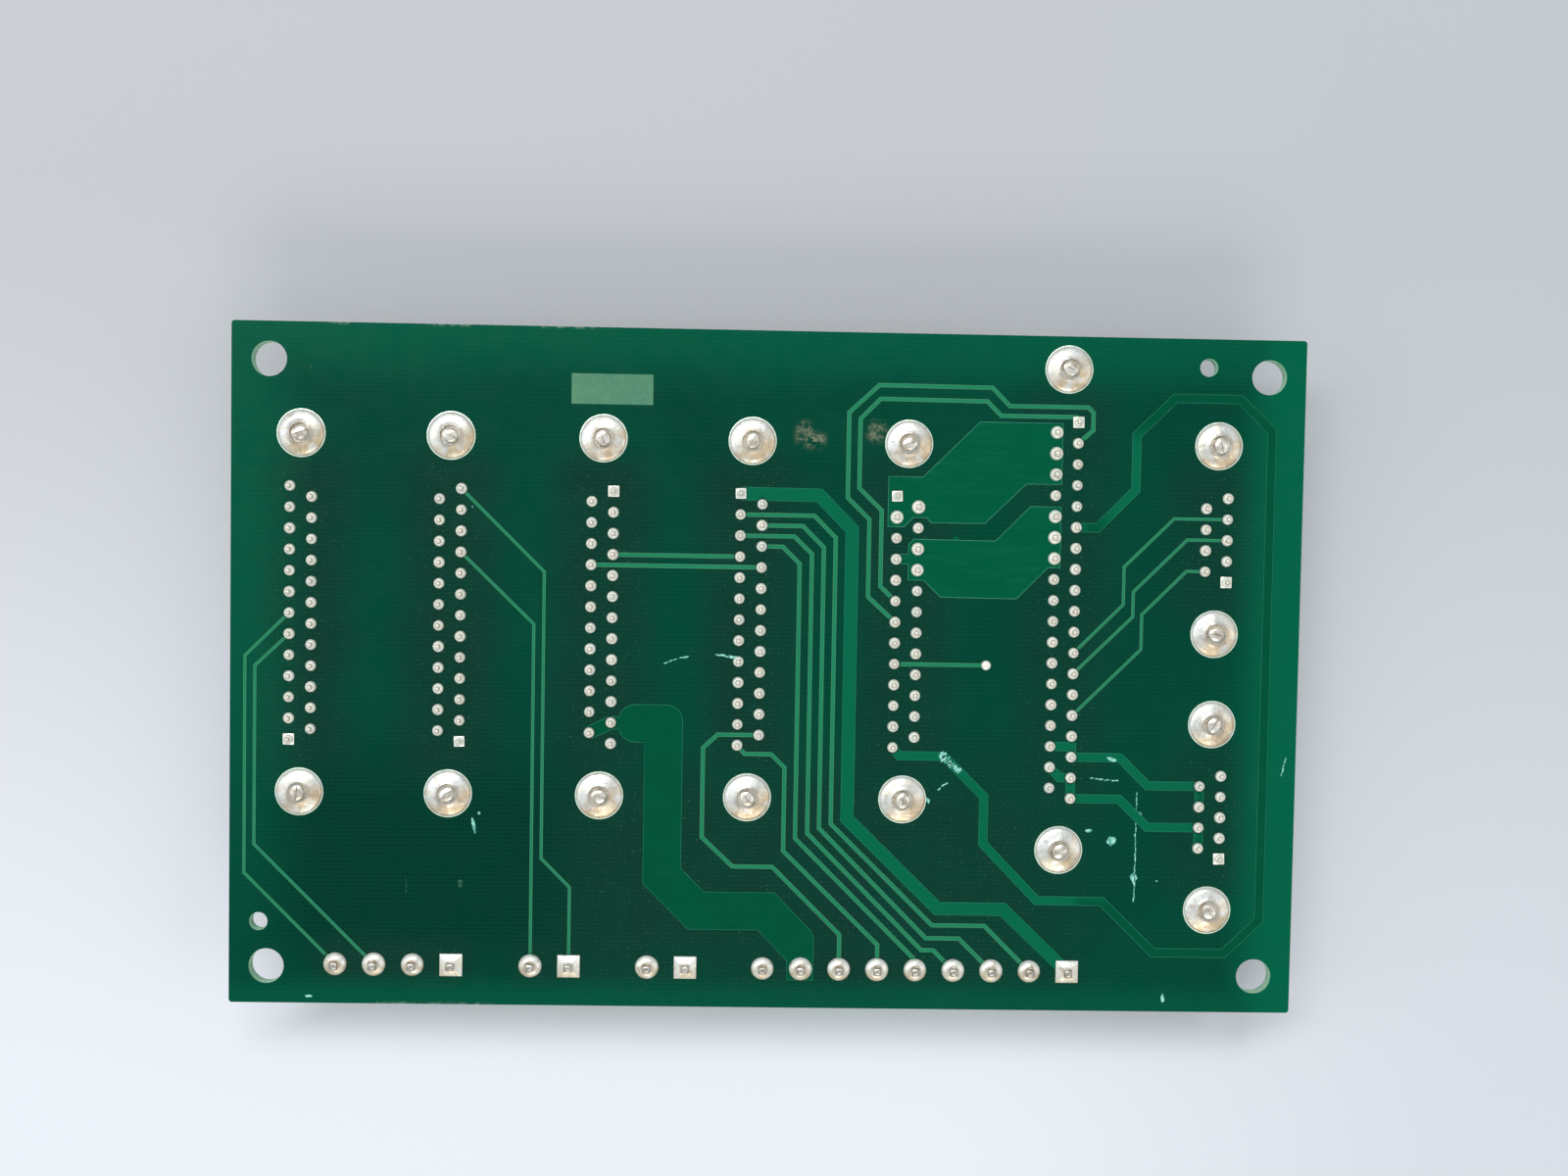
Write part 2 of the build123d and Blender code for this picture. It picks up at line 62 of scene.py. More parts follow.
def bench(piece):
    """Leaves this piece as the only one that the next operators act on."""
    bpy.ops.object.select_all(action="DESELECT")
    piece.select_set(True)
    bpy.context.view_layer.objects.active = piece


def block(name, low, high):
    """A rectangular blank between two corners."""
    middle = [(a + b) / 2 * mm for a, b in zip(low, high)]
    bpy.ops.mesh.primitive_cube_add(size=1, location=middle)
    blank = bpy.context.object
    blank.scale = [(b - a) * mm for a, b in zip(low, high)]
    bpy.ops.object.transform_apply()
    blank.name = name
    return blank


def bar(name, place, radius, low, high, sides):
    """A round or hexagonal blank that stands at a place, between two heights."""
    bpy.ops.mesh.primitive_cylinder_add(
        vertices=sides,
        radius=radius * mm,
        depth=(high - low) * mm,
        location=(place[0] * mm, place[1] * mm, (low + high) / 2 * mm),
    )
    bpy.ops.object.transform_apply()
    blank = bpy.context.object
    blank.name = name
    return blank


def clear(*models):
    """Removes models that have served."""
    for model in models:
        bpy.data.objects.remove(model)


def join(pieces, name):
    """Puts several meshes into one piece."""
    bench(pieces[0])
    for piece in pieces[1:]:
        piece.select_set(True)
    if len(pieces) > 1:
        bpy.ops.object.join()
    pieces[0].name = name
    return pieces[0]


def cut(piece, cutter, operation="DIFFERENCE"):
    """Takes the cutter's shape out of a piece, or adds it, and clears the cutter away."""
    bench(piece)
    boolean = piece.modifiers.new("cut", "BOOLEAN")
    boolean.operation = operation
    boolean.solver = "EXACT"
    boolean.object = cutter
    bpy.ops.object.modifier_apply(modifier=boolean.name)
    clear(cutter)


def drill(piece, places, diameter, low, high, sides):
    """Drills a round hole at each place, between two heights."""
    drills = [bar("drill", place, diameter / 2, low, high, sides) for place in places]
    cut(piece, join(drills, "drills"))


def pick(piece, faces=None, edges=None, points=None):
    """Selects faces, edges or points by a test of their middle, in millimetres, and opens them."""
    bench(piece)
    mesh = piece.data
    mode = "FACE" if faces else "EDGE" if edges else "VERT"
    bpy.ops.object.mode_set(mode="EDIT")
    bpy.ops.mesh.select_mode(type=mode)
    bpy.ops.mesh.select_all(action="DESELECT")
    bpy.ops.object.mode_set(mode="OBJECT")
    if faces:
        for face in mesh.polygons:
            face.select = faces(face.center / mm, face.normal)
    elif edges:
        for edge in mesh.edges:
            start, end = (mesh.vertices[i].co / mm for i in edge.vertices)
            edge.select = edges(start, end)
    else:
        for point in mesh.vertices:
            point.select = points(point.co / mm)
    bpy.ops.object.mode_set(mode="EDIT")


def put_down():
    """Closes the piece that pick opened."""
    bpy.ops.object.mode_set(mode="OBJECT")


def upright(start, end):
    """Whether an edge stands upright, by the heights of its two ends."""
    return abs(start.z - end.z) > 0.01


def round_edges(piece, radius, segments, edges=upright):
    """Rounds the edges that pass a test of their two ends, to a radius in millimetres."""
    pick(piece, edges=edges)
    bpy.ops.mesh.bevel(offset=radius * mm, segments=segments)
    put_down()


def soften(piece, width, segments=2, above=40):
    """Rounds every edge that is sharper than an angle in degrees."""
    bench(piece)
    bevel = piece.modifiers.new("soften", "BEVEL")
    bevel.width = width * mm
    bevel.segments = segments
    bevel.limit_method = "ANGLE"
    bevel.angle_limit = math.radians(above)
    bpy.ops.object.modifier_apply(modifier=bevel.name)


def smooth(piece, below=35, flat_from=3.0):
    """Shades a piece round, apart from faces over an area in square mm, which are flat."""
    bench(piece)
    bpy.ops.object.shade_smooth_by_angle(angle=math.radians(below))
    for face in piece.data.polygons:
        if face.area > flat_from * mm * mm:
            face.use_smooth = False


def paint(red, green, blue):
    """A colour as a screen shows it, in steps of 255, made linear for the shader."""
    steps = (red / 255, green / 255, blue / 255)
    return tuple(s / 12.92 if s <= 0.04045 else ((s + 0.055) / 1.055) ** 2.4 for s in steps)


def finish(name, colour, roughness, metallic=0.0, specular=0.5):
    """Starts a material, with the values that are the same all over it."""
    material = bpy.data.materials.new(name)
    material.use_nodes = True
    shader = material.node_tree.nodes["Principled BSDF"]
    shader.inputs["Base Color"].default_value = (*colour, 1)
    shader.inputs["Roughness"].default_value = roughness
    shader.inputs["Metallic"].default_value = metallic
    shader.inputs["Specular IOR Level"].default_value = specular
    return material


def node(material, kind, sockets, output=0, **settings):
    """Adds a node with its settings, values and links, and returns one of its outputs."""
    made = material.node_tree.nodes.new("ShaderNode" + kind)
    for key, value in settings.items():
        setattr(made, key, value)
    for socket, value in sockets.items():
        if isinstance(value, bpy.types.NodeSocket):
            material.node_tree.links.new(value, made.inputs[socket])
        else:
            made.inputs[socket].default_value = value
    return made.outputs[output]


def on_piece(material):
    """The place on the piece, in metres."""
    return node(material, "TexCoord", {}, output="Object")


def along(material, axis):
    """How far along X, Y or Z the place on the piece lies, in metres."""
    return node(material, "SeparateXYZ", {"Vector": on_piece(material)}, output=axis)


def grain(material, size, detail, rough=0.5, where=None):
    """Cloudy noise, with clouds of a size in millimetres."""
    sockets = {
        "Vector": where or on_piece(material),
        "Scale": 1 / (size * mm),
        "Detail": detail,
        "Roughness": rough,
    }
    return node(material, "TexNoise", sockets)


def sweep(material, value, start, end, low=0.0, high=1.0):
    """Turns a value that goes from start to end into one from low to high, with soft ends."""
    sockets = {"Value": value, "From Min": start, "From Max": end, "To Min": low, "To Max": high}
    return node(material, "MapRange", sockets, interpolation_type="SMOOTHSTEP")


def cloudy(material, size, detail, start, end, low=0.0, high=1.0, rough=0.5):
    """Clouds of a size in millimetres, swept from low to high."""
    return sweep(material, grain(material, size, detail, rough), start, end, low, high)


def above_board(material, start, end, low=0.0, high=1.0):
    """Sweeps from one height above the board's top to another, in millimetres."""
    heights = along(material, "Z")
    return sweep(material, heights, (board_top + start) * mm, (board_top + end) * mm, low, high)


def sums(material, operation, a, b):
    """One step of arithmetic on two values."""
    return node(material, "Math", {0: a, 1: b}, operation=operation)


def vectors(material, operation, *values, output="Vector"):
    """One step of arithmetic on vectors."""
    sockets = dict(enumerate(values))
    return node(material, "VectorMath", sockets, output=output, operation=operation)


def waves(material, direction, scale, distortion, detail, detail_scale=1.0):
    """Even stripes across one axis, for a weave or for plies."""
    sockets = {
        "Vector": on_piece(material),
        "Scale": scale,
        "Distortion": distortion,
        "Detail": detail,
        "Detail Scale": detail_scale,
    }
    return node(material, "TexWave", sockets, bands_direction=direction)


def tint(material, amount, under, over):
    """Lays one colour over another by an amount."""
    under, over = ((*tone, 1) if isinstance(tone, tuple) else tone for tone in (under, over))
    return node(material, "Mix", {0: amount, 6: under, 7: over}, output=2, data_type="RGBA")


def feed(material, socket, value):
    """Leads a value to one of the shader's sockets."""
    shader = material.node_tree.nodes["Principled BSDF"]
    material.node_tree.links.new(value, shader.inputs[socket])


def uneven_gloss(material, size, detail, low, high):
    """Varies the roughness from low to high, in clouds of a size in millimetres."""
    feed(material, "Roughness", cloudy(material, size, detail, 0.3, 0.7, low, high))


def relief(material, height, depth):
    """Raises the surface by a pattern, to a depth in millimetres."""
    bump = node(material, "Bump", {"Height": height, "Strength": 1.0, "Distance": depth * mm})
    feed(material, "Normal", bump)


def fix(piece, cad_node, material):
    """Gives a finished piece its material and its place on the part."""
    piece.data.materials.clear()
    piece.data.materials.append(material)
    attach(piece, "root")
    if cad_node:
        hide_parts(cad_node)
    return piece


# The connectors that the board is drilled for: x and y of the middle, contacts in the longer
# row, the side that row is on, whether pin one is its upper end, and whether it is a socket.
class Connector:
    pitch = 2.77
    row_spacing = 2.84
    screw_margin = 13.8

    def __init__(self, name, x, y, long_row, side, pin_one_at_top, is_socket):
        self.name = name
        self.x = x
        self.y = y
        self.long_row = long_row
        self.side = side
        self.pin_one_at_top = pin_one_at_top
        self.is_socket = is_socket
        self.row_length = (long_row - 1) * self.pitch
        self.screw_spacing = self.row_length + self.screw_margin
        self.screws = [(x, y + end * self.screw_spacing / 2) for end in (1, -1)]

    def row(self, side):
        """The contacts of the row on one side, from the top down."""
        count = self.long_row if side == self.side else self.long_row - 1
        top = self.y + (count - 1) / 2 * self.pitch
        x = self.x + side * self.row_spacing / 2
        return [(x, top - i * self.pitch) for i in range(count)]

    @property
    def pin_one(self):
        return self.row(self.side)[0 if self.pin_one_at_top else -1]

    @property
    def contacts(self):
        return self.row(self.side) + self.row(-self.side)


LEFT = -1
RIGHT = 1
connectors = [
    Connector("j1", -61.4, 6.8, 13, LEFT, False, True),
    Connector("j2", -41.917, 6.8, 13, RIGHT, False, False),
    Connector("j3", -22.033, 6.8, 13, RIGHT, True, True),
    Connector("j4", -2.5, 6.8, 13, LEFT, True, False),
    Connector("j5", 18.083, 6.8, 13, LEFT, True, False),
    Connector("j6", 39.017, 8.62, 19, RIGHT, True, True),
    Connector("j7", 59.1, 18.3, 5, RIGHT, False, False),
    Connector("j8", 59.1, -18.6, 5, RIGHT, False, False),
]
screw_places = [place for c in connectors for place in c.screws]
screw_hole_diameter = 3.1
header_pitch = 5.08
header_y = -39.55
header_rows = {
    "header_a": (-56.55, 4),
    "header_b": (-30.867, 2),
    "header_c": (-15.433, 2),
    "header_d": (-0.1, 9),
}
header_pins = {
    name: [(first + i * header_pitch, header_y) for i in range(ways)]
    for name, (first, ways) in header_rows.items()
}
all_header_pins = [place for pins in header_pins.values() for place in pins]
header_hole_diameter = 1.5

board = block("board_panel", board_low, board_high)
round_edges(board, board_corner, 3)
clear_below = board_bottom - 1
clear_above = board_top + 1
drill(board, mount_holes, mount_hole_diameter, clear_below, clear_above, 48)
drill(board, tooling_holes, tooling_hole_diameter, clear_below, clear_above, 36)
drill(board, screw_places, screw_hole_diameter, clear_below, clear_above, 24)
drill(board, all_header_pins, header_hole_diameter, clear_below, clear_above, 16)
soften(board, board_rim, 2, 60)
smooth(board, 28)


def near_block(material, x, y, half_width, half_height, reach):
    """1 inside a rectangle on the board, falling softly to 0 over a reach outside it."""
    half_size = (half_width * mm, half_height * mm, 0)
    from_middle = vectors(material, "SUBTRACT", on_piece(material), (x * mm, y * mm, 0))
    flat = vectors(material, "MULTIPLY", from_middle, (1, 1, 0))
    either_side = vectors(material, "ABSOLUTE", flat)
    outside = vectors(material, "SUBTRACT", either_side, half_size)
    beyond = vectors(material, "MAXIMUM", outside, (0, 0, 0))
    distance = vectors(material, "LENGTH", beyond, output="Value")
    return sweep(material, distance, 0.0, reach * mm, 1.0, 0.0)


mask_green = paint(0, 67, 50)
mask_cloud = paint(0, 60, 46)
mask_painted_light = paint(0, 94, 67)
mask_painted_shade = paint(14, 54, 44)
mask_deep = paint(0, 50, 38)
mask_speck = paint(66, 112, 96)
mask_worn = paint(150, 178, 160)
mask_stain = paint(146, 148, 124)
mask_weave = paint(50, 130, 105)
mask_specular = 0.05
deep_area = (-45, -26, 14, 6, 16)
dark_area = (8, -27, 26, 6, 16)
stains = [(4.3, 31.4, 0.1, 0.6), (5.6, 30.6, 0.5, 0.1), (13.8, 31.9, 0.2, 0.4)]
worn_spots = [
    (-56.5, 44.9, 1.0, 0.0),
    (-42.5, 44.9, 2.7, 0.0),
    (-27.0, 44.9, 3.5, 0.0),
    (-44.0, -44.9, 8.0, 0.0),
]
scratches = [(-47.3, -28.9, 0.0, 1.2), (-40.2, -28.7, 0.2, 0.4), (-60.2, 38.8, 0.0, 0.6)]

mask = finish("green_mask", mask_green, 0.3, specular=mask_specular)
wide_clouds = cloudy(mask, 16, 3, 0.42, 0.64, 0, 0.5)
mask_tone = tint(mask, wide_clouds, mask_green, mask_cloud)
across = along(mask, "X")
upwards = along(mask, "Y")
# Painted light: the mask is lighter in strips along the board's four edges.
right_strip = sweep(mask, across, 60 * mm, 68 * mm)
left_strip = sweep(mask, across, -58 * mm, -69 * mm, 0, 0.55)
left_strip = sums(mask, "MULTIPLY", left_strip, sweep(mask, upwards, -45 * mm, 20 * mm, 0.25, 1))
top_strip = sweep(mask, upwards, 35 * mm, 44 * mm, 0, 0.6)
bottom_strip = sweep(mask, upwards, -40 * mm, -44 * mm, 0, 0.4)
painted_light_strips = sums(mask, "MAXIMUM", right_strip, left_strip)
painted_light_strips = sums(mask, "MAXIMUM", painted_light_strips, sums(mask, "MAXIMUM", top_strip, bottom_strip))
deep_zone = near_block(mask, *deep_area)
mask_tone = tint(mask, sums(mask, "MULTIPLY", deep_zone, 0.8), mask_tone, mask_deep)
# Painted shade: darker mask over the connectors and headers under the board, and in a field between
# them.
painted_shade_zone = near_block(mask, *dark_area)
for c in connectors:
    zone = near_block(mask, c.x, c.y, 2.0, c.row_length / 2 + 1, 7.5)
    painted_shade_zone = sums(mask, "MAXIMUM", painted_shade_zone, zone)
for pins in header_pins.values():
    half_row = (pins[-1][0] - pins[0][0]) / 2
    zone = near_block(mask, pins[0][0] + half_row, header_y + 0.6, half_row, 0.5, 4.5)
    painted_shade_zone = sums(mask, "MAXIMUM", painted_shade_zone, zone)
patchy = cloudy(mask, 7, 3, 0.3, 0.7, 0.6, 1.0)
painted_shade_amount = sums(mask, "MULTIPLY", painted_shade_zone, patchy)
paler_right = sweep(mask, across, 5 * mm, 40 * mm, 1.0, 0.7)
painted_shade_amount = sums(mask, "MULTIPLY", painted_shade_amount, paler_right)
# Lays the painted shade, patchy and lighter towards the right, over the mask.
mask_tone = tint(mask, painted_shade_amount, mask_tone, mask_painted_shade)
# Lays the painted light along the edges over the mask.
mask_tone = tint(mask, painted_light_strips, mask_tone, mask_painted_light)
specks = cloudy(mask, 0.26, 1.0, 0.67, 0.78, 0, 0.55)
mask_tone = tint(mask, sums(mask, "MULTIPLY", specks, painted_shade_zone), mask_tone, mask_speck)
blots = cloudy(mask, 0.9, 4, 0.42, 0.6, 0, 0.75, rough=0.7)
blots = sums(mask, "MULTIPLY", blots, cloudy(mask, 0.2, 2, 0.3, 0.6, rough=0.6))
blots = sums(mask, "MULTIPLY", blots, above_board(mask, -0.3, -0.1))
marks = ((stains, mask_stain, 1.6), (worn_spots, mask_worn, 0.5), (scratches, mask_speck, 0.2))
for places, colour, reach in marks:
    spots = None
    for x, y, half_width, half_height in places:
        spot = near_block(mask, x, y, half_width, half_height, reach)
        spots = spot if spots is None else sums(mask, "MAXIMUM", spots, spot)
    mask_tone = tint(mask, sums(mask, "MULTIPLY", spots, blots), mask_tone, colour)
weave_rows = waves(mask, "Y", 570.0, 1.2, 1.0, 2.0)
weave_columns = waves(mask, "X", 520.0, 2.0, 1.0)
weave = sums(mask, "ADD", weave_rows, sums(mask, "MULTIPLY", weave_columns, 0.4))
mask_tone = tint(mask, sweep(mask, weave, 0.2, 1.3, 0.0, 0.035), mask_tone, mask_weave)
feed(mask, "Base Color", mask_tone)
uneven_gloss(mask, 3, 3, 0.24, 0.38)
relief(mask, weave, 0.003)

laminate = finish("laminate_edge", paint(164, 214, 184), 0.5)
plies = waves(laminate, "Z", 1800.0, 1.5, 2.0)
ply_tone = sweep(laminate, plies, 0.2, 0.8, 0, 0.5)
edge_tone = tint(laminate, ply_tone, paint(172, 220, 192), paint(112, 172, 138))
rough_spots = cloudy(laminate, 0.8, 3, 0.5, 0.7, 0, 0.6)
edge_tone = tint(laminate, rough_spots, edge_tone, paint(212, 226, 200))
feed(laminate, "Base Color", edge_tone)
relief(laminate, plies, 0.02)

fix(board, "board", mask)
board.data.materials.append(laminate)
for face in board.data.polygons:
    if abs(face.normal.z) < 0.97:
        face.material_index = 1


# The tracks: etched copper under the mask, which lies thinner and paler along each edge; that
# paler colour is partly a painted highlight of the mask's rounded edge. Fine ones carry signals,
# and the wider ones and the bus carry the supply.
signal_edge = 0.032
power_edge = 0.055
copper_height = 0.07
fine_track = 0.35
signal_track = 0.5
patch_top = board_top + copper_height - 0.004
areas_right = 38.38
contact_pad_radius = 0.95
header_pad_radius = 1.8
stub_start = 1.2
stub_end = 1.9
rim_specular = 0.1
bus_corners = [(-19.433, -4.6, 2.3), (-19.433, -9.6, 2.3), (-11.133, -4.6, 2.2)]
contact_places = [place for c in connectors for place in c.contacts]


def added(name, data):
    """A new object in the scene, made from its data."""
    made = bpy.data.objects.new(name, data)
    bpy.context.scene.collection.objects.link(made)
    return made


def merged_copy(cad_node, name):
    """A copy of a CAD node's mesh, with its loose triangles merged into whole faces."""
    piece = added(name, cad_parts[cad_node].data.copy())
    bench(piece)
    bpy.ops.object.mode_set(mode="EDIT")
    bpy.ops.mesh.select_all(action="SELECT")
    bpy.ops.mesh.remove_doubles(threshold=0.002 * mm)
    bpy.ops.mesh.dissolve_limited(angle_limit=math.radians(1))
    bpy.ops.object.mode_set(mode="OBJECT")
    return piece


def on_a_pad(point):
    """Whether a point of the copper's edge belongs to the round of a pad, under its solder."""
    if abs(point.x - areas_right) < 0.02:
        return False
    flat = Vector((point.x, point.y))
    pads = [(place, contact_pad_radius) for place in contact_places]
    pads += [(place, header_pad_radius) for place in all_header_pins]
    return any((flat - Vector(place)).length < radius for place, radius in pads)


def edge_line(piece, name, radius):
    """A fine raised line of thin mask along a copper layer's top edges, clear of its pads."""
    line = added(name, piece.data.copy())
    pick(line, faces=lambda p, normal: normal.z < 0.9)
    bpy.ops.mesh.delete(type="FACE")
    bpy.ops.mesh.select_all(action="SELECT")
    bpy.ops.mesh.region_to_loop()
    bpy.ops.mesh.select_all(action="INVERT")
    bpy.ops.mesh.delete(type="EDGE")
    bpy.ops.mesh.select_all(action="SELECT")
    bpy.ops.mesh.delete(type="ONLY_FACE")
    put_down()
    pick(line, edges=lambda a, b: on_a_pad((a + b) / 2))
    bpy.ops.mesh.delete(type="EDGE")
    put_down()
    bench(line)
    bpy.ops.object.convert(target="CURVE")
    line.data.bevel_depth = radius * mm
    line.data.bevel_resolution = 1
    line.data.use_fill_caps = True
    bpy.ops.object.convert(target="MESH")
    pick(line, points=lambda p: True)
    bpy.ops.transform.translate(value=(0, 0, -radius * mm / 2))
    put_down()
    smooth(line, 80)
    return line


def stretched(material, scale):
    """The place on the piece with each axis scaled, for a grain that runs one way."""
    return node(material, "Mapping", {"Vector": on_piece(material), "Scale": scale})


def covered(name, middle, edge, bright_zones=()):
    """Mask over copper: a lighter green with fine lines, and paler edges, partly painted highlight.
    """
    body = finish(name, middle, 0.28, specular=mask_specular)
    worn = cloudy(body, 5, 4, 0.4, 0.7, 0, 0.3)
    tone = tint(body, worn, middle, tuple(0.82 * part for part in middle))
    for zone in bright_zones:
        tone = tint(body, near_block(body, *zone), tone, bright_green)
    fine = grain(body, 0.4, 2, where=stretched(body, (0.1, 1, 1)))
    tone = tint(body, sweep(body, fine, 0.45, 0.75, 0, 0.04), tone, edge)
    feed(body, "Base Color", tone)
    relief(body, fine, 0.003)
    # The edges' paler green is thinner mask and partly a painted highlight.
    rim = finish(name + "_edge", edge, 0.3, specular=rim_specular)
    broken = cloudy(rim, 1.2, 4, 0.35, 0.65, 0, 0.5)
    halfway = tuple((a + b) / 2 for a, b in zip(edge, middle))
    feed(rim, "Base Color", tint(rim, broken, edge, halfway))
    return body, rim


def fix_copper(piece, cad_node, finishes, edge_radius):
    """Puts a copper layer and its edge lines in place, each with its own finish."""
    body, rim = finishes
    line = edge_line(piece, f"{piece.name}_edges", edge_radius)
    fix(piece, cad_node, body)
    fix(line, None, rim)


def copied(model, place, turn=0.0, scale=(1, 1, 1), height=0.0):
    """A copy of a model with its own mesh, turned, sized and set down at a place."""
    twin = added(model.name, model.data.copy())
    spot = Matrix.Translation((place[0] * mm, place[1] * mm, height * mm))
    turned_by = Matrix.Rotation(turn, 4, "Z")
    sized = Matrix.Diagonal((*scale, 1))
    twin.data.transform(spot @ turned_by @ sized)
    return twin


def stub(place, width, turn=0.0):
    """The end of a track, run on under the solder of a header pin."""
    end = block("stub", (-width / 2, stub_start, 0), (width / 2, stub_end, copper_height))
    twin = copied(end, place, turn, height=board_top)
    clear(end)
    return twin


def trim(piece, low, high):
    """Cuts a copper layer away between two corners, given by x and y."""
    cut(piece, block("trim", (*low, trim_bottom), (*high, clear_above)))


bright_green = paint(6, 102, 72)
bright_runs = [(24.5, -12, 16, 32, 2), (4, 20, 12, 7, 3), (48, -16, 8, 12, 3), (49, 26, 3, 4, 4)]
signal_finish = covered("signal_copper", paint(34, 128, 92), paint(88, 160, 122))
power_finish = covered("power_copper", paint(0, 80, 55), paint(34, 122, 92), bright_runs)
area_finish = covered("area_copper", paint(0, 88, 60), paint(66, 150, 120))

signal_runs = merged_copy("signal_tracks", "signal_runs")
fine_ends = [stub(place, fine_track, math.radians(45)) for place in header_pins["header_a"][:2]]
fine_ends += [stub(place, fine_track) for place in header_pins["header_b"]]
header_d = header_pins["header_d"]
signal_ends = [stub(place, signal_track) for place in header_d[2:4]]
signal_ends += [stub(header_d[4], signal_track, math.radians(8))]
signal_ends += [stub(place, signal_track, math.radians(45)) for place in header_d[5:8]]
signal_runs = join([signal_runs] + fine_ends + signal_ends, "signal_runs")
fix_copper(signal_runs, "signal_tracks", signal_finish, signal_edge)

power_runs = merged_copy("power_tracks", "power_runs")
for x, y, radius in bus_corners:
    round_edges(
        power_runs, radius, 8, lambda a, b: upright(a, b) and math.hypot(a.x - x, a.y - y) < 0.3
    )
# The bus narrows where it meets its header pin. Trims reach past the copper on their outer sides.
bus_end_left = 3.14
bus_end_right = 6.64
bus_end_low = -40.85
bus_narrows = -38.45
shoulder_low = -36
shoulder_high = -33
shoulder_radius = 0.7
trim_low = -43
trim_high = -34.4
trim_bottom = 10
trim(power_runs, (bus_end_right, trim_low), (9, trim_high))
trim(power_runs, (1, trim_low), (bus_end_left, bus_narrows))
slant = block("trim", (-2, 0, trim_bottom), (0, 2.4, clear_above))
cut(power_runs, copied(slant, (bus_end_left, bus_narrows), math.radians(45)))
clear(slant)
round_edges(
    power_runs,
    shoulder_radius,
    6,
    lambda a, b: upright(a, b)
    and abs(a.x - bus_end_right) < 0.1
    and shoulder_low < a.y < shoulder_high,
)
fix_copper(power_runs, "power_tracks", power_finish, power_edge)
bus_end = block(
    "bus_end",
    (bus_end_left, bus_end_low, board_top),
    (bus_end_right, header_y + stub_end, patch_top),
)
fix(bus_end, None, power_finish[0])

# The copper areas: two wide fields of the same etched copper under the mask, for the supply.
# They end close to the joints on their right, and one has a nub on its edge.
nub_place = (24.5, 17.9)
nub_radius = 0.4
fills = merged_copy("copper_areas", "copper_fills")
trim(fills, (areas_right, 5), (40, 40))
nub = bar("nub", nub_place, nub_radius, board_top, patch_top, 12)
fix_copper(fills, "copper_areas", area_finish, power_edge)
fix(nub, None, area_finish[0])


# The field for hand marking: a plain rectangle of pale green ink, screened on top of the mask
# in one thin coat. It is bare.
marking = merged_copy("marking_field", "marking_panel")
soften(marking, 0.05, 1)
ink_green = paint(70, 132, 100)
ink_dark = paint(52, 116, 90)
ink_pale = paint(84, 142, 104)
ink = finish("screened_ink", ink_green, 0.6)
ink_dots = grain(ink, 0.35, 3)
ink_tone = tint(ink, sweep(ink, ink_dots, 0.35, 0.65, 0, 0.5), ink_green, ink_dark)
ink_tone = tint(ink, cloudy(ink, 2.5, 2, 0.4, 0.7, 0, 0.5), ink_tone, ink_pale)
feed(ink, "Base Color", ink_tone)
relief(ink, ink_dots, 0.01)
fix(marking, "marking_field", ink)


# The D connectors' shells: tinned steel, drawn in one piece. The flange lies under the
# insulator, and the D-shaped skirt keeps the mating half the right way round.
skirt_top = 6.0
sheet = 0.5
flange_back = skirt_top + sheet
skirt_angle = math.radians(10)
plug_inner = 8.36
plug_margin = 5.72
plug_radius = 2.6
socket_outer = 7.9
socket_margin = 5.14
socket_radius = 2.4
flange_width = 12.5
flange_margin = 6.0
flange_radius = 1.2
shank_hole_diameter = 3.3


def d_blank(name, c, outwards, low, high):
    """A D-shaped block, set outwards from the inside of the connector's skirt."""
    if c.is_socket:
        step = outwards - sheet
        width = socket_outer
        length = c.row_length + socket_margin
        radius = socket_radius
    else:
        step = outwards
        width = plug_inner
        length = c.row_length + plug_margin
        radius = plug_radius
    radius += step
    width += 2 * step
    length += 2 * step * (1 / math.cos(skirt_angle) + math.tan(skirt_angle))
    blank = block(
        name,
        (c.x - width / 2, c.y - length / 2, low),
        (c.x + width / 2, c.y + length / 2, high),
    )
    pick(blank, points=lambda p: (p.x - c.x) * c.side < 0)
    drawn_in = 1 - 2 * width * math.tan(skirt_angle) / length
    bpy.ops.transform.resize(
        value=(1, drawn_in, 1), center_override=(c.x * mm, c.y * mm, low * mm)
    )
    put_down()
    round_edges(blank, radius, 7)
    return blank


def shell(c):
    """A flange with the skirt's wall added and its opening cut through."""
    length = c.screw_spacing + flange_margin
    flange = block(
        f"{c.name}_drawn_shell",
        (c.x - flange_width / 2, c.y - length / 2, skirt_top),
        (c.x + flange_width / 2, c.y + length / 2, flange_back),
    )
    round_edges(flange, flange_radius, 5)
    cut(flange, d_blank("skirt_wall", c, sheet, 0, flange_back - 0.2), "UNION")
    cut(flange, d_blank("skirt_opening", c, 0, -1, flange_back + 1))
    drill(flange, c.screws, shank_hole_diameter, 0, 12, 24)
    soften(flange, 0.12, 2, 50)
    smooth(flange)
    return flange


tin = finish("tinned_steel", (0.62, 0.62, 0.6), 0.34, 1.0)
drawn_lines = grain(tin, 0.5, 3, where=stretched(tin, (1, 1, 0.08)))
dull = cloudy(tin, 5, 4, 0.35, 0.7)
feed(tin, "Base Color", tint(tin, dull, (0.68, 0.68, 0.66), (0.5, 0.5, 0.47)))
uneven_gloss(tin, 1.5, 4, 0.26, 0.46)
relief(tin, drawn_lines, 0.01)
for c in connectors:
    fix(shell(c), f"{c.name}_shell", tin)


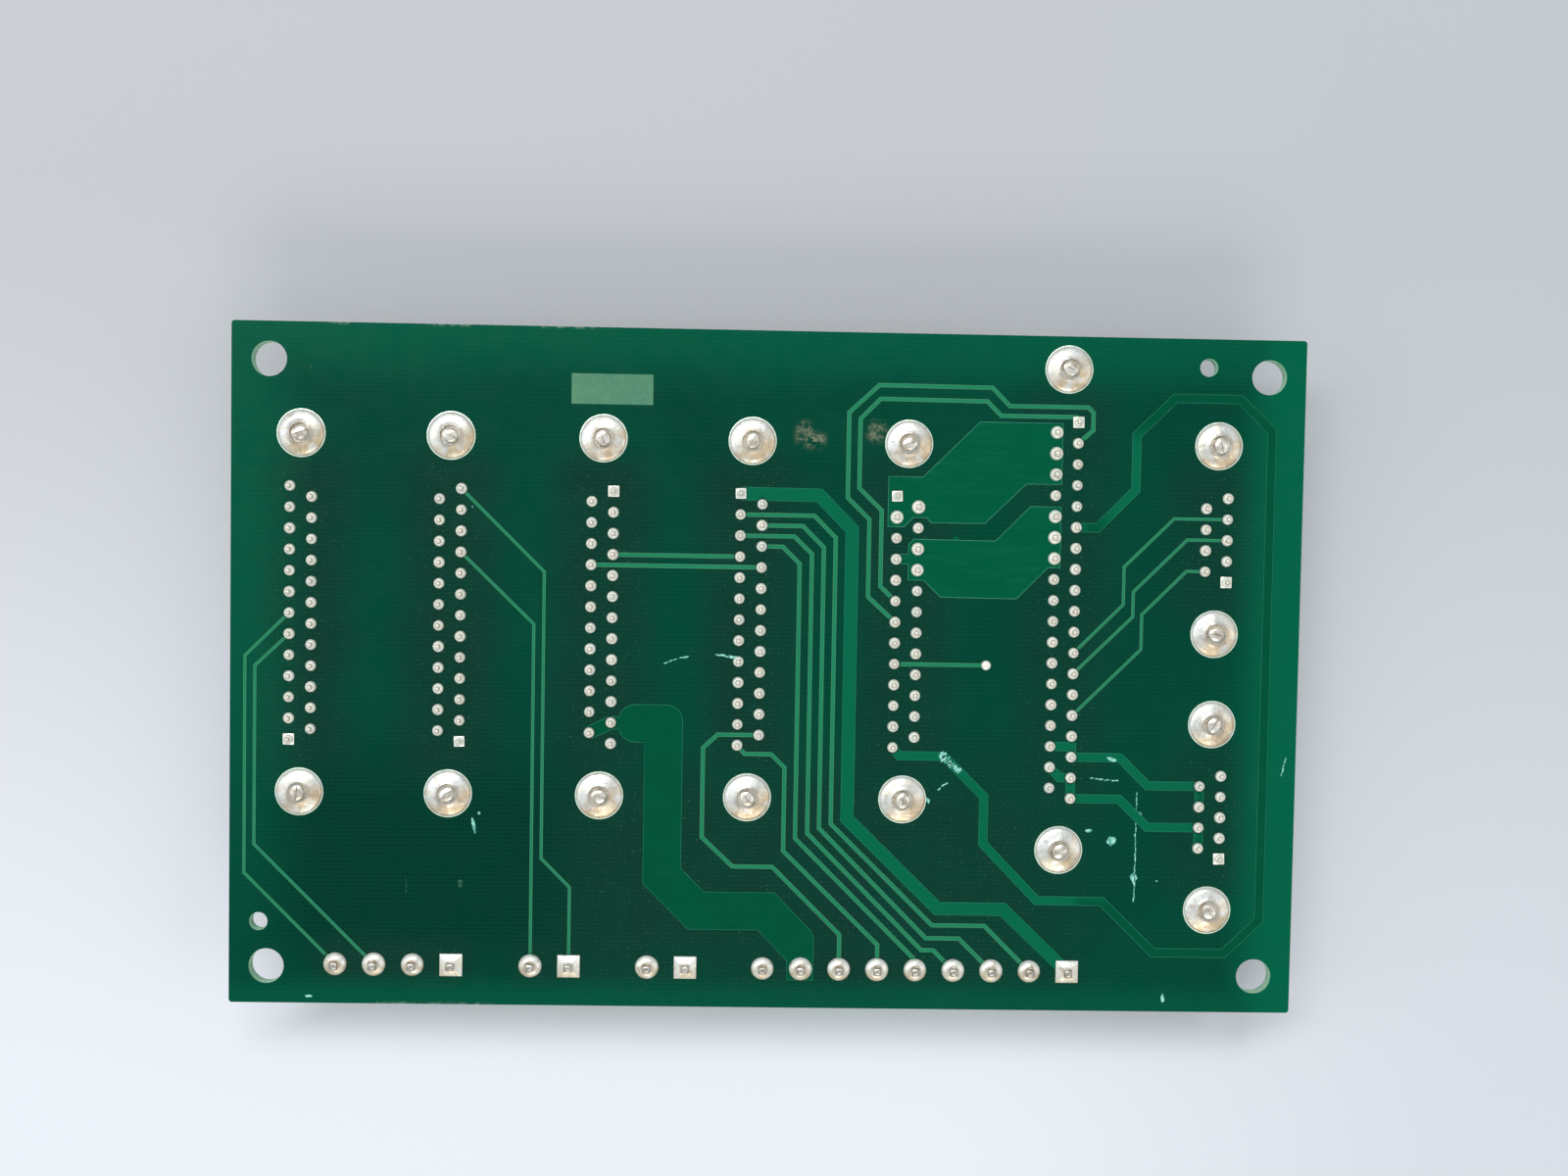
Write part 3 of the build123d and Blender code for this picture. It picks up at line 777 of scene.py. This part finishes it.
# The D connectors' insulators: black glass-filled moulding. A nose fills the skirt, a flange
# lies on the shell and a block reaches the board. Sockets have a round hole at each contact.
insulator_gap = 0.05
plug_floor = 5.0
socket_face = 0.2
insulator_flange_width = 11.0
insulator_flange_top = 7.7
insulator_flange_margin = 6.2
rear_block_width = 7.6
rear_block_margin = 5.4
socket_hole_diameter = 1.2
socket_hole_lead = 1.7
lead_depth = 0.35
lead_start = 0.1
socket_hole_top = 4.8


def mottle(material, size, detail, under, over):
    """Varies the colour between two, in clouds of a size in millimetres."""
    amount = cloudy(material, size, detail, 0.4, 0.7)
    feed(material, "Base Color", tint(material, amount, under, over))


def insulator(c):
    """A nose, a flange and a rear block, joined."""
    face = socket_face if c.is_socket else plug_floor
    nose = d_blank("nose", c, -insulator_gap, face, flange_back)
    if c.is_socket:
        drill(nose, c.contacts, socket_hole_diameter, 0, socket_hole_top, 12)
        leads = []
        for x, y in c.contacts:
            bpy.ops.mesh.primitive_cone_add(
                vertices=12,
                radius1=(socket_hole_lead / 2 + lead_start) * mm,
                radius2=socket_hole_diameter / 2 * mm,
                depth=lead_depth * mm,
                location=(x * mm, y * mm, (socket_face - lead_start + lead_depth / 2) * mm),
            )
            leads.append(bpy.context.object)
        cut(nose, join(leads, "leads"))
    flange_length = c.screw_spacing - insulator_flange_margin
    flange = block(
        "flange",
        (c.x - insulator_flange_width / 2, c.y - flange_length / 2, flange_back),
        (c.x + insulator_flange_width / 2, c.y + flange_length / 2, insulator_flange_top),
    )
    soften(flange, 0.25, 2)
    rear_length = c.row_length + rear_block_margin
    rear = block(
        "rear",
        (c.x - rear_block_width / 2, c.y - rear_length / 2, insulator_flange_top),
        (c.x + rear_block_width / 2, c.y + rear_length / 2, board_bottom),
    )
    soften(rear, 0.2, 2)
    body = join([nose, flange, rear], f"{c.name}_moulding")
    smooth(body)
    return body


black = finish("black_moulding", (0.02, 0.02, 0.023), 0.5)
mottle(black, 2, 3, (0.016, 0.016, 0.019), (0.036, 0.036, 0.04))
uneven_gloss(black, 1.2, 4, 0.42, 0.62)
relief(black, grain(black, 0.12, 2), 0.01)
for c in connectors:
    fix(insulator(c), f"{c.name}_insulator", black)


# The contacts: gold-flashed brass, turned. A plug's pins have rounded tips and a socket's
# sleeves sit deep in its holes.
pin_radius = 0.5
pin_tip = 0.7
sleeve_bottom = 3.2
sleeve_radius = 0.58
sleeve_bore = 0.38
sleeve_bore_top = 4.4


def turned(name, profile, sides, place=(0, 0)):
    """A round solid, drawn up from a filled circle through (radius, height) pairs."""
    radius, height = profile[0]
    x, y = place[0] * mm, place[1] * mm
    bpy.ops.mesh.primitive_circle_add(
        vertices=sides, radius=radius * mm, fill_type="NGON", location=(x, y, height * mm)
    )
    bpy.ops.object.transform_apply()
    solid = bpy.context.object
    solid.name = name
    bpy.ops.object.mode_set(mode="EDIT")
    bpy.ops.mesh.select_mode(type="FACE")
    bpy.ops.mesh.select_all(action="SELECT")
    for next_radius, next_height in profile[1:]:
        bpy.ops.mesh.extrude_region_move(
            TRANSFORM_OT_translate={"value": (0, 0, (next_height - height) * mm)}
        )
        share = next_radius / radius
        bpy.ops.transform.resize(
            value=(share, share, 1), center_override=(x, y, next_height * mm)
        )
        radius, height = next_radius, next_height
    bpy.ops.mesh.select_all(action="SELECT")
    bpy.ops.mesh.normals_make_consistent(inside=False)
    bpy.ops.object.mode_set(mode="OBJECT")
    return solid


def set_out(model, places, name):
    """One piece made of a copy of a model at each place."""
    piece = join([copied(model, place) for place in places], name)
    smooth(piece)
    return piece


pin_model = turned(
    "pin",
    [(0.12, pin_tip), (0.32, 0.8), (0.45, 1.0), (pin_radius, 1.3), (pin_radius, plug_floor)],
    12,
)
sleeve_model = turned(
    "sleeve",
    [
        (0.42, sleeve_bottom),
        (0.56, sleeve_bottom + 0.14),
        (sleeve_radius, sleeve_bottom + 0.3),
        (sleeve_radius, socket_hole_top),
    ],
    12,
)
drill(sleeve_model, [(0, 0)], 2 * sleeve_bore, 0, sleeve_bore_top, 10)
gold = finish("gold_flash", (0.78, 0.53, 0.2), 0.24, 1.0)
mottle(gold, 0.8, 3, (0.82, 0.58, 0.24), (0.66, 0.44, 0.17))
uneven_gloss(gold, 0.3, 2, 0.18, 0.34)
relief(gold, grain(gold, 0.2, 2, where=stretched(gold, (1, 1, 0.1))), 0.004)
for c in connectors:
    contact = sleeve_model if c.is_socket else pin_model
    name = f"{c.name}_sleeves" if c.is_socket else f"{c.name}_pins"
    fix(set_out(contact, c.contacts, name), f"{c.name}_contacts", gold)
clear(pin_model, sleeve_model)


# The screwlocks: each turned from hexagonal bar and nickel plated. The head takes the mating
# half's screw, the standoff carries the board, and the split tail is soldered into it.
head_bottom = 1.0
head_flats = 4.75
standoff_flats = 5.0
turned_off = 0.22
thread_outer = 1.36
thread_inner = 1.16
thread_pitch = 0.5
thread_top = 5.2
shank_radius = 1.6
tail_radius = 1.42
tail_top = 15.448
slot_width = 0.5
slot_pinch = 0.2
first_slot_angle = 20
slot_angle_step = 67


def hexagon(name, flats, low, high):
    """A hexagonal blank with its flats across X and its corners turned off at both ends."""
    blank = bar(name, (0, 0), flats / 2 / math.cos(math.radians(30)), low, high, 6)
    round_edges(blank, turned_off, 2, lambda a, b: not upright(a, b))
    return blank


def screwlock():
    """The head with its thread, the shank, the standoff and the split tail."""
    head = hexagon("head", head_flats, head_bottom, skirt_top)
    ridges = [(thread_outer + 0.15, head_bottom - 0.2), (thread_outer, head_bottom + 0.15)]
    height = head_bottom + 0.15
    while height + thread_pitch < thread_top:
        ridges.append((thread_inner, height + thread_pitch / 2))
        ridges.append((thread_outer, height + thread_pitch))
        height += thread_pitch
    ridges.append((0.1, thread_top))
    cut(head, turned("tap", ridges, 20))
    shank = bar("shank", (0, 0), shank_radius, skirt_top, flange_back, 20)
    standoff = hexagon("standoff", standoff_flats, flange_back, board_bottom)
    tail = turned(
        "tail",
        [
            (tail_radius, board_bottom),
            (tail_radius, board_top + 0.15),
            (1.14, board_top + 0.45),
            (1.12, board_top + 1.0),
            (1.04, board_top + 1.18),
            (0.84, board_top + 1.28),
            (0.5, tail_top),
        ],
        24,
    )
    slot = block("slot", (-3, -slot_width / 2, board_bottom + 0.02), (3, slot_width / 2, 17))
    cut(tail, slot)
    for side in (-1, 1):
        pick(tail, points=lambda p: p.z > board_top + 0.4 and p.y * side > 0)
        bpy.ops.transform.translate(value=(0, -side * slot_pinch * mm, 0))
        put_down()
    return head, shank, standoff, tail


head, shank, standoff, tail = screwlock()
soften(tail, 0.05, 1, 50)
lower_model = join([head, shank, standoff], "lower")
nickel = finish("nickel_plate", (0.66, 0.63, 0.56), 0.3, 1.0)
turning = grain(nickel, 0.25, 2, where=stretched(nickel, (0.2, 0.2, 1)))
mottle(nickel, 1.5, 4, (0.74, 0.71, 0.64), (0.52, 0.48, 0.41))
uneven_gloss(nickel, 0.6, 3, 0.24, 0.42)
relief(nickel, turning, 0.006)
coated = finish("coated_tail", (0.8, 0.78, 0.72), 0.3, 0.5)
coating = cloudy(coated, 0.9, 4, 0.4, 0.65)
feed(coated, "Base Color", tint(coated, coating, (0.86, 0.85, 0.78), (0.55, 0.48, 0.4)))
relief(coated, grain(coated, 0.35, 3), 0.02)
slot_angle = first_slot_angle
for c in connectors:
    parts = []
    for place in c.screws:
        parts.append(copied(lower_model, place))
        parts.append(copied(tail, place, math.radians(slot_angle)))
        slot_angle += slot_angle_step
    locks = join(parts, f"{c.name}_hex_locks")
    smooth(locks, 30)
    fix(locks, f"{c.name}_screwlocks", nickel)
    locks.data.materials.append(coated)
    for face in locks.data.polygons:
        if face.center.z > board_top * mm:
            face.material_index = 1
clear(lower_model, tail)


# The solder on the contacts: one small joint to a pad, wetted out to the pad's edge and drawn
# up the contact's end. Pin one's pad is square, and joints that stand in the copper areas
# are a little wider.
joint_profile = [
    (0.73, 0.0),
    (0.72, 0.13),
    (0.66, 0.3),
    (0.56, 0.45),
    (0.46, 0.55),
    (0.42, 0.56),
    (0.38, 0.48),
    (0.35, 0.78),
    (0.29, 0.96),
    (0.16, 1.07),
]
wide_joint_share = 1.2
square_pad = 1.44
square_pad_height = 0.14
square_top_share = 0.86
area_joints = (
    [connectors[4].row(LEFT)[1]]
    + [connectors[4].row(RIGHT)[i] for i in (0, 2, 3)]
    + [connectors[5].row(LEFT)[i] for i in (0, 1, 2, 4, 5, 6)]
)
pin_one_places = [c.pin_one for c in connectors]
hand = random.Random(4)

joint_model = turned("joint", joint_profile, 12)
half_pad = square_pad / 2
square_model = block("square", (-half_pad, -half_pad, 0), (half_pad, half_pad, square_pad_height))
soften(square_model, 0.05, 1)
square_top = copied(joint_model, (0, 0), 0, (square_top_share, square_top_share, 1))
square_model = join([square_model, square_top], "square")


def soldered(c):
    """The joints of one connector, each a little different, as a hand would leave them."""
    joints = []
    for place in c.contacts:
        height = board_top
        share = 1.0
        model = joint_model
        turn = hand.uniform(0, math.tau)
        if place in area_joints:
            height += copper_height - 0.03
            share = wide_joint_share
        if place in pin_one_places:
            model = square_model
            turn = hand.uniform(-0.03, 0.03)
        wide = share * hand.uniform(0.96, 1.04)
        tall = hand.uniform(0.84, 0.99)
        joints.append(copied(model, place, turn, (wide, wide, tall), height))
    piece = join(joints, f"{c.name}_joints")
    smooth(piece, 50)
    return piece


solder = finish("bright_solder", (0.93, 0.94, 0.85), 0.3, 0.25)
dross = cloudy(solder, 0.5, 4, 0.5, 0.7, 0, 0.5)
solder_tone = tint(solder, dross, (0.95, 0.97, 0.87), (0.72, 0.66, 0.54))
cool = cloudy(solder, 3.5, 2, 0.5, 0.62, 0, 0.5)
solder_tone = tint(solder, cool, solder_tone, (0.86, 0.94, 0.92))
pin_end = above_board(solder, 0.5, 0.62, 0, 0.5)
solder_tone = tint(solder, pin_end, solder_tone, (0.6, 0.5, 0.42))
# Painted shade: a dark ring at each joint's foot, where it meets the board.
joint_foot_shade = above_board(solder, 0.13, 0.04, 0, 0.35)
solder_tone = tint(solder, joint_foot_shade, solder_tone, (0.3, 0.34, 0.26))
feed(solder, "Base Color", solder_tone)
uneven_gloss(solder, 0.4, 3, 0.22, 0.4)
relief(solder, grain(solder, 0.3, 3), 0.012)
for c in connectors:
    fix(soldered(c), f"{c.name}_solder", solder)
clear(joint_model, square_model)


# The via: a plated hole through the board, where one signal changes sides. The solder that
# fills it has set as a low round button.
via_place = (28.86, 1.256)
via_profile = [(0.66, 0.0), (0.62, 0.14), (0.5, 0.26), (0.3, 0.35), (0.1, 0.38)]
via = turned("via_button", [(r, board_top + h) for r, h in via_profile], 16, via_place)
smooth(via, 60)
fix(via, "via", solder)


# The headers' housings: green moulding, open towards the mating plugs, with a notch in one
# wall at each way. They stand on the board's far side.
housing_depth = 8.6
housing_margin = 7.1
housing_wall = 0.9
housing_bottom = 0.5
cavity_top = 9.1
notch_width = 1.6
notch_height = 2.2


def housing(name, pins):
    """An open box round a header's pins, with a notch in its front wall at each."""
    left = pins[0][0] - housing_margin / 2
    right = pins[-1][0] + housing_margin / 2
    front = header_y - housing_depth / 2
    back = header_y + housing_depth / 2
    body = block(f"{name}_body", (left, front, housing_bottom), (right, back, board_bottom))
    cavity = block(
        "cavity",
        (left + housing_wall, front + housing_wall, -1),
        (right - housing_wall, back - housing_wall, cavity_top),
    )
    cut(body, cavity)
    notches = [
        block(
            "notch",
            (x - notch_width / 2, front - 1, -1),
            (x + notch_width / 2, front + housing_wall + 0.5, housing_bottom + notch_height),
        )
        for x, y in pins
    ]
    cut(body, join(notches, "notches"))
    soften(body, 0.16, 2, 50)
    smooth(body)
    return body


green = finish("green_moulding", paint(24, 122, 72), 0.45)
mottle(green, 3, 3, paint(24, 124, 74), paint(18, 104, 60))
uneven_gloss(green, 1.5, 4, 0.38, 0.56)
relief(green, grain(green, 0.15, 2), 0.012)
for name, pins in header_pins.items():
    fix(housing(name, pins), f"{name}_housing", green)


# The headers' pins: square wire of tinned brass with a four-sided point at both ends. Each is
# pressed into its housing and soldered into the board.
header_pin_side = 1.0
header_pin_bottom = 2.1
header_pin_top = 15.4
pin_point_inset = 0.22
pin_points = [(header_pin_bottom, 0.45), (header_pin_top, -0.18)]

half = header_pin_side / 2
square_pin = block("square_pin", (-half, -half, header_pin_bottom), (half, half, header_pin_top))
pick(square_pin, faces=lambda p, normal: abs(normal.z) > 0.9)
bpy.ops.mesh.inset(thickness=pin_point_inset * mm, use_even_offset=True)
put_down()
for end, drawn_back in pin_points:
    pick(square_pin, points=lambda p: abs(p.z - end) < 0.01 and abs(p.x) > half - 0.01)
    bpy.ops.transform.translate(value=(0, 0, drawn_back * mm))
    put_down()
soften(square_pin, 0.04, 1, 30)
pin_tin = finish("tinned_pin", (0.66, 0.64, 0.58), 0.36, 1.0)
mottle(pin_tin, 0.8, 4, (0.7, 0.68, 0.62), (0.45, 0.42, 0.36))
uneven_gloss(pin_tin, 0.4, 3, 0.28, 0.5)
relief(pin_tin, grain(pin_tin, 0.2, 2, where=stretched(pin_tin, (1, 1, 0.1))), 0.008)
for name, pins in header_pins.items():
    fix(set_out(square_pin, pins, f"{name}_posts"), f"{name}_pins", pin_tin)
clear(square_pin)


# The solder on the header pins: a wide low dome on each round pad, and a square one with
# sloping sides on the pad of pin one, at the right-hand end of each header.
terminal_profile = [
    (1.53, 0.0),
    (1.51, 0.16),
    (1.4, 0.34),
    (1.2, 0.5),
    (0.98, 0.62),
    (0.8, 0.7),
    (0.74, 0.72),
    (0.66, 0.66),
    (0.5, 0.62),
]
plate_side = 3.0
plate_steps = [(0.12, 0.1), (0.32, 0.2), (0.34, 0.2), (0.2, 0.06)]

dome = turned("dome", terminal_profile, 28)
half_plate = plate_side / 2
plate = block("plate", (-half_plate, -half_plate, 0), (half_plate, half_plate, 0.1))
for inwards, rise in plate_steps:
    top = max(point.co.z for point in plate.data.vertices) / mm
    pick(plate, faces=lambda p, normal: normal.z > 0.9 and p.z > top - 0.01)
    bpy.ops.mesh.inset(thickness=inwards * mm, depth=rise * mm)
    put_down()
soften(plate, 0.12, 2, 25)
terminals = []
for pins in header_pins.values():
    for place in pins[:-1]:
        wide = hand.uniform(0.97, 1.03)
        turn = hand.uniform(0, math.tau)
        tall = hand.uniform(0.85, 1)
        terminals.append(copied(dome, place, turn, (wide, wide, tall), board_top))
    tall = hand.uniform(0.8, 0.95)
    terminals.append(copied(plate, pins[-1], 0, (1, 1, tall), board_top))
terminal_joints = join(terminals, "terminal_joints")
smooth(terminal_joints, 45)
flowed = finish("flowed_solder", (0.84, 0.8, 0.7), 0.32, 0.4)
# Painted shade: the domes' sides that face away from the light are tinted beige, in patches.
flowed_facing = node(flowed, "NewGeometry", {}, output="Normal")
flowed_up = node(flowed, "SeparateXYZ", {"Vector": flowed_facing}, output="Y")
lower_side = sweep(flowed, flowed_up, 0.25, -0.3)
beige_shade = sums(flowed, "MULTIPLY", lower_side, cloudy(flowed, 1.2, 3, 0.3, 0.6))
flowed_tone = tint(flowed, beige_shade, (0.87, 0.9, 0.84), (0.68, 0.6, 0.42))
# Painted shade: the solder is darker in the hollow round each pin.
pin_hollow_shade = above_board(flowed, 0.5, 0.66, 0, 0.6)
flowed_tone = tint(flowed, pin_hollow_shade, flowed_tone, (0.6, 0.5, 0.4))
smudge = cloudy(flowed, 0.8, 4, 0.56, 0.7, 0, 0.6)
flowed_tone = tint(flowed, smudge, flowed_tone, (0.5, 0.4, 0.3))
feed(flowed, "Base Color", flowed_tone)
uneven_gloss(flowed, 0.6, 3, 0.24, 0.44)
relief(flowed, grain(flowed, 0.5, 3), 0.02)
fix(terminal_joints, "terminal_solder", flowed)
clear(dome, plate)


# The solder on the screwlocks: a broad disc that fills each pad, thickest round the split
# tail. Flux has left tan patches and dark specks in it. Its side away from the light is painted
# tan as shade, a darker ring round the tail is painted shade, and a pale line at its foot is a
# painted highlight.
disc_profile = [
    (3.2, 0.0),
    (3.2, 0.06),
    (3.07, 0.08),
    (3.0, 0.22),
    (2.8, 0.38),
    (2.4, 0.52),
    (1.95, 0.64),
    (1.62, 0.74),
    (1.45, 0.84),
    (1.36, 0.86),
    (1.3, 0.8),
    (1.26, 0.42),
]
web_half_length = 1.05
web_half_width = 0.24
web_bottom = 0.5
web_height = 1.14
web_shares = {8: 1.1, 11: 1.07, 14: 0.75}
lock_disc = turned("disc", disc_profile, 48)
web = block(
    "web",
    (-web_half_length, -web_half_width, web_bottom),
    (web_half_length, web_half_width, web_height),
)
soften(web, 0.04, 1)
discs = []
slot_angle = first_slot_angle
for place in screw_places:
    wide = hand.uniform(0.985, 1.0)
    tall = hand.uniform(0.85, 1)
    turn = hand.uniform(0, math.tau)
    discs.append(copied(lock_disc, place, turn, (wide, wide, tall), board_top))
    filled = web_shares.get(len(discs) // 2, 1.0)
    discs.append(copied(web, place, math.radians(slot_angle), (1, 1, filled), board_top))
    slot_angle += slot_angle_step
clear(web)
disc_solder = finish("disc_solder", (0.8, 0.78, 0.7), 0.36, 0.5)
# Tan: flux patches anywhere, and painted shade on the slopes that face away from the light.
facing = node(disc_solder, "NewGeometry", {}, output="Normal")
facing = vectors(disc_solder, "DOT_PRODUCT", facing, (-0.5, 0.86, 0), output="Value")
away_from_light = sweep(disc_solder, facing, 0.2, -0.26)
blotchy = cloudy(disc_solder, 1.8, 4, 0.3, 0.58)
tan = sums(disc_solder, "MULTIPLY", away_from_light, blotchy)
patches = cloudy(disc_solder, 1.3, 4, 0.54, 0.72, 0, 0.6)
tan = sums(disc_solder, "MAXIMUM", tan, patches)
disc_tone = tint(disc_solder, tan, (0.78, 0.81, 0.79), (0.66, 0.53, 0.35))
cream = cloudy(disc_solder, 1.1, 3, 0.5, 0.7, 0, 0.6)
disc_tone = tint(disc_solder, cream, disc_tone, (0.88, 0.84, 0.66))
burnt = cloudy(disc_solder, 0.5, 5, 0.62, 0.74, 0, 0.75, rough=0.6)
disc_tone = tint(disc_solder, burnt, disc_tone, (0.22, 0.17, 0.12))
# Painted shade: the solder is darker on its high ring round the tail and down into the gap.
tail_ring_shade = above_board(disc_solder, 0.58, 0.8, 0, 0.6)
disc_tone = tint(disc_solder, tail_ring_shade, disc_tone, (0.42, 0.37, 0.31))
# Painted highlight: a pale mint line round the foot of each disc.
rim_highlight = above_board(disc_solder, 0.11, 0.07)
disc_tone = tint(disc_solder, rim_highlight, disc_tone, (0.78, 0.92, 0.78))
feed(disc_solder, "Base Color", disc_tone)
uneven_gloss(disc_solder, 0.7, 4, 0.26, 0.5)
relief(disc_solder, grain(disc_solder, 1.1, 4), 0.08)
lock_joints = join(discs, "lock_joints")
smooth(lock_joints, 50)
fix(lock_joints, "screwlock_solder", disc_solder)
clear(lock_disc)


# Wear: where the mask has been scraped, thin pale flakes of it lie on the board. Most follow a
# scrape in a broken line, and the others lie alone.
flake_height = 0.02
on_mask = 0.0
on_copper = 0.075
flakes_at = [
    (-38.5, -21.0, 0.4, 2.0, 10, on_mask),
    (-37.8, -19.3, 0.35, 0.4, 0, on_mask),
    (-60.0, -43.9, 0.9, 0.35, 0, on_mask),
    (46.1, -21.9, 1.2, 1.2, 40, on_mask),
    (43.0, -20.6, 0.9, 0.4, 10, on_mask),
    (49.2, -26.8, 0.9, 1.5, 5, on_mask),
    (49.6, -18.3, 0.6, 1.1, 70, on_mask),
    (53.5, -43.0, 0.45, 1.2, 5, on_mask),
    (52.3, -27.2, 0.25, 0.25, 0, on_mask),
    (21.5, -16.8, 0.5, 0.9, 20, on_mask),
    (45.8, -11.0, 1.3, 0.45, -15, on_copper),
]
scrapes = [
    ((-13.8, 0.9), (-10.6, 1.9), 0.24, 5, on_mask),
    ((-6.9, 2.1), (-4.0, 1.8), 0.28, 5, on_mask),
    ((22.9, -10.5), (25.7, -13.0), 0.9, 10, on_copper),
    ((22.8, -15.4), (24.1, -14.3), 0.3, 3, on_mask),
    ((43.0, -13.6), (47.0, -13.9), 0.2, 7, on_mask),
    ((49.3, -15.3), (49.3, -30.0), 0.14, 22, on_mask),
    ((68.6, -13.0), (69.2, -10.4), 0.14, 6, on_mask),
    ((-65.2, -31.1), (-64.8, -31.1), 0.3, 1, on_mask),
    ((-39.1, 21.1), (-38.9, 21.1), 0.25, 1, on_mask),
]

flake_models = []
for seed in range(3):
    bpy.ops.mesh.primitive_circle_add(vertices=11, radius=0.5 * mm, fill_type="NGON")
    flake = bpy.context.object
    pick(flake, points=lambda p: True)
    bpy.ops.transform.vertex_random(offset=0.17 * mm, uniform=0.3, seed=seed + 3)
    bpy.ops.transform.resize(value=(1, 1, 0), center_override=(0, 0, 0))
    bpy.ops.mesh.select_mode(type="FACE")
    bpy.ops.mesh.select_all(action="SELECT")
    bpy.ops.mesh.extrude_region_move(TRANSFORM_OT_translate={"value": (0, 0, flake_height * mm)})
    bpy.ops.mesh.select_all(action="SELECT")
    bpy.ops.mesh.normals_make_consistent(inside=False)
    put_down()
    flake_models.append(flake)

flakes = []
for x, y, width, length, turn, height in flakes_at:
    model = hand.choice(flake_models)
    flakes.append(copied(model, (x, y), math.radians(turn), (width, length, 1), board_top + height))
for start, end, width, count, height in scrapes:
    reach = Vector(end) - Vector(start)
    turn = math.atan2(reach.y, reach.x)
    step = reach.length / count
    for i in range(count):
        middle = Vector(start) + reach * (i + 0.5) / count
        middle += Vector((hand.uniform(-0.08, 0.08), hand.uniform(-0.08, 0.08)))
        size = (step * hand.uniform(0.7, 1.7), width * hand.uniform(0.6, 1.4), 1)
        twist = turn + hand.uniform(-0.12, 0.12)
        flakes.append(copied(hand.choice(flake_models), middle, twist, size, board_top + height))
clear(*flake_models)
wear = join(flakes, "mask_flakes")
flaked = finish("flaked_mask", paint(110, 190, 176), 0.6)
thin = cloudy(flaked, 0.5, 3, 0.4, 0.65)
feed(flaked, "Base Color", tint(flaked, thin, paint(156, 228, 216), paint(60, 150, 132)))
relief(flaked, grain(flaked, 0.2, 2), 0.01)
fix(wear, None, flaked)


# The surface that the board stands on, and soft light from above. The light is strongest
# from beyond the board's upper edge, so the shadow falls below the lower one.
floor_size = 4.0
bpy.ops.mesh.primitive_plane_add(size=floor_size, location=(0, 0, 0))
floor = bpy.context.object
floor.name = "floor"
floor_paint = finish("pale_floor", paint(214, 218, 226), 0.7)
# Painted shade: the floor is darker towards the top and towards the right.
floor_shade = sweep(floor_paint, along(floor_paint, "Y"), -70 * mm, 70 * mm)
floor_tone = tint(floor_paint, floor_shade, paint(229, 234, 242), paint(190, 194, 199))
floor_shade_right = sweep(floor_paint, along(floor_paint, "X"), 20 * mm, 110 * mm, 0, 0.45)
feed(floor_paint, "Base Color", tint(floor_paint, floor_shade_right, floor_tone, paint(186, 196, 204)))
floor.data.materials.append(floor_paint)


def lamp(name, place, width, depth, power, colour):
    """A soft rectangular light that faces the board."""
    light = bpy.data.lights.new(name, "AREA")
    light.shape = "RECTANGLE"
    light.size = width
    light.size_y = depth
    light.energy = power
    light.color = colour
    holder = added(name, light)
    holder.location = place
    holder.rotation_euler = (-Vector(place)).to_track_quat("-Z", "Y").to_euler()


lamp("main_light", (-0.25, 0.58, 1.05), 1.1, 0.26, 8.7, (1.0, 0.99, 0.97))
lamp("left_light", (-1.1, 0.1, 0.9), 0.8, 0.8, 3.0, (0.95, 0.98, 1.0))
lamp("right_light", (1.1, -0.1, 0.9), 0.8, 0.8, 2.5, (1.0, 0.98, 0.95))
lamp("front_light", (0.1, -1.0, 0.8), 0.8, 0.5, 5.4, (1.0, 0.96, 0.9))

world = bpy.data.worlds.new("room")
world.use_nodes = True
bpy.context.scene.world = world
background = world.node_tree.nodes["Background"]
background.inputs["Color"].default_value = (0.86, 0.9, 0.95, 1)
background.inputs["Strength"].default_value = 0.35

# The camera: above the board, a little off its middle and a little turned, as it was when the
# photograph was taken.
camera_place = (-2.05, 17.52, 207.72)
camera_turn = (-1.926, -1.147, 0.973)
lens = bpy.data.cameras.new("camera")
lens.lens = 33.75
lens.sensor_width = 36
lens.clip_start = 0.005
lens.clip_end = 20
camera = added("camera", lens)
camera.location = [part * mm for part in camera_place]
camera.rotation_euler = [math.radians(part) for part in camera_turn]
bpy.context.scene.camera = camera
bpy.context.scene.view_settings.view_transform = "Standard"
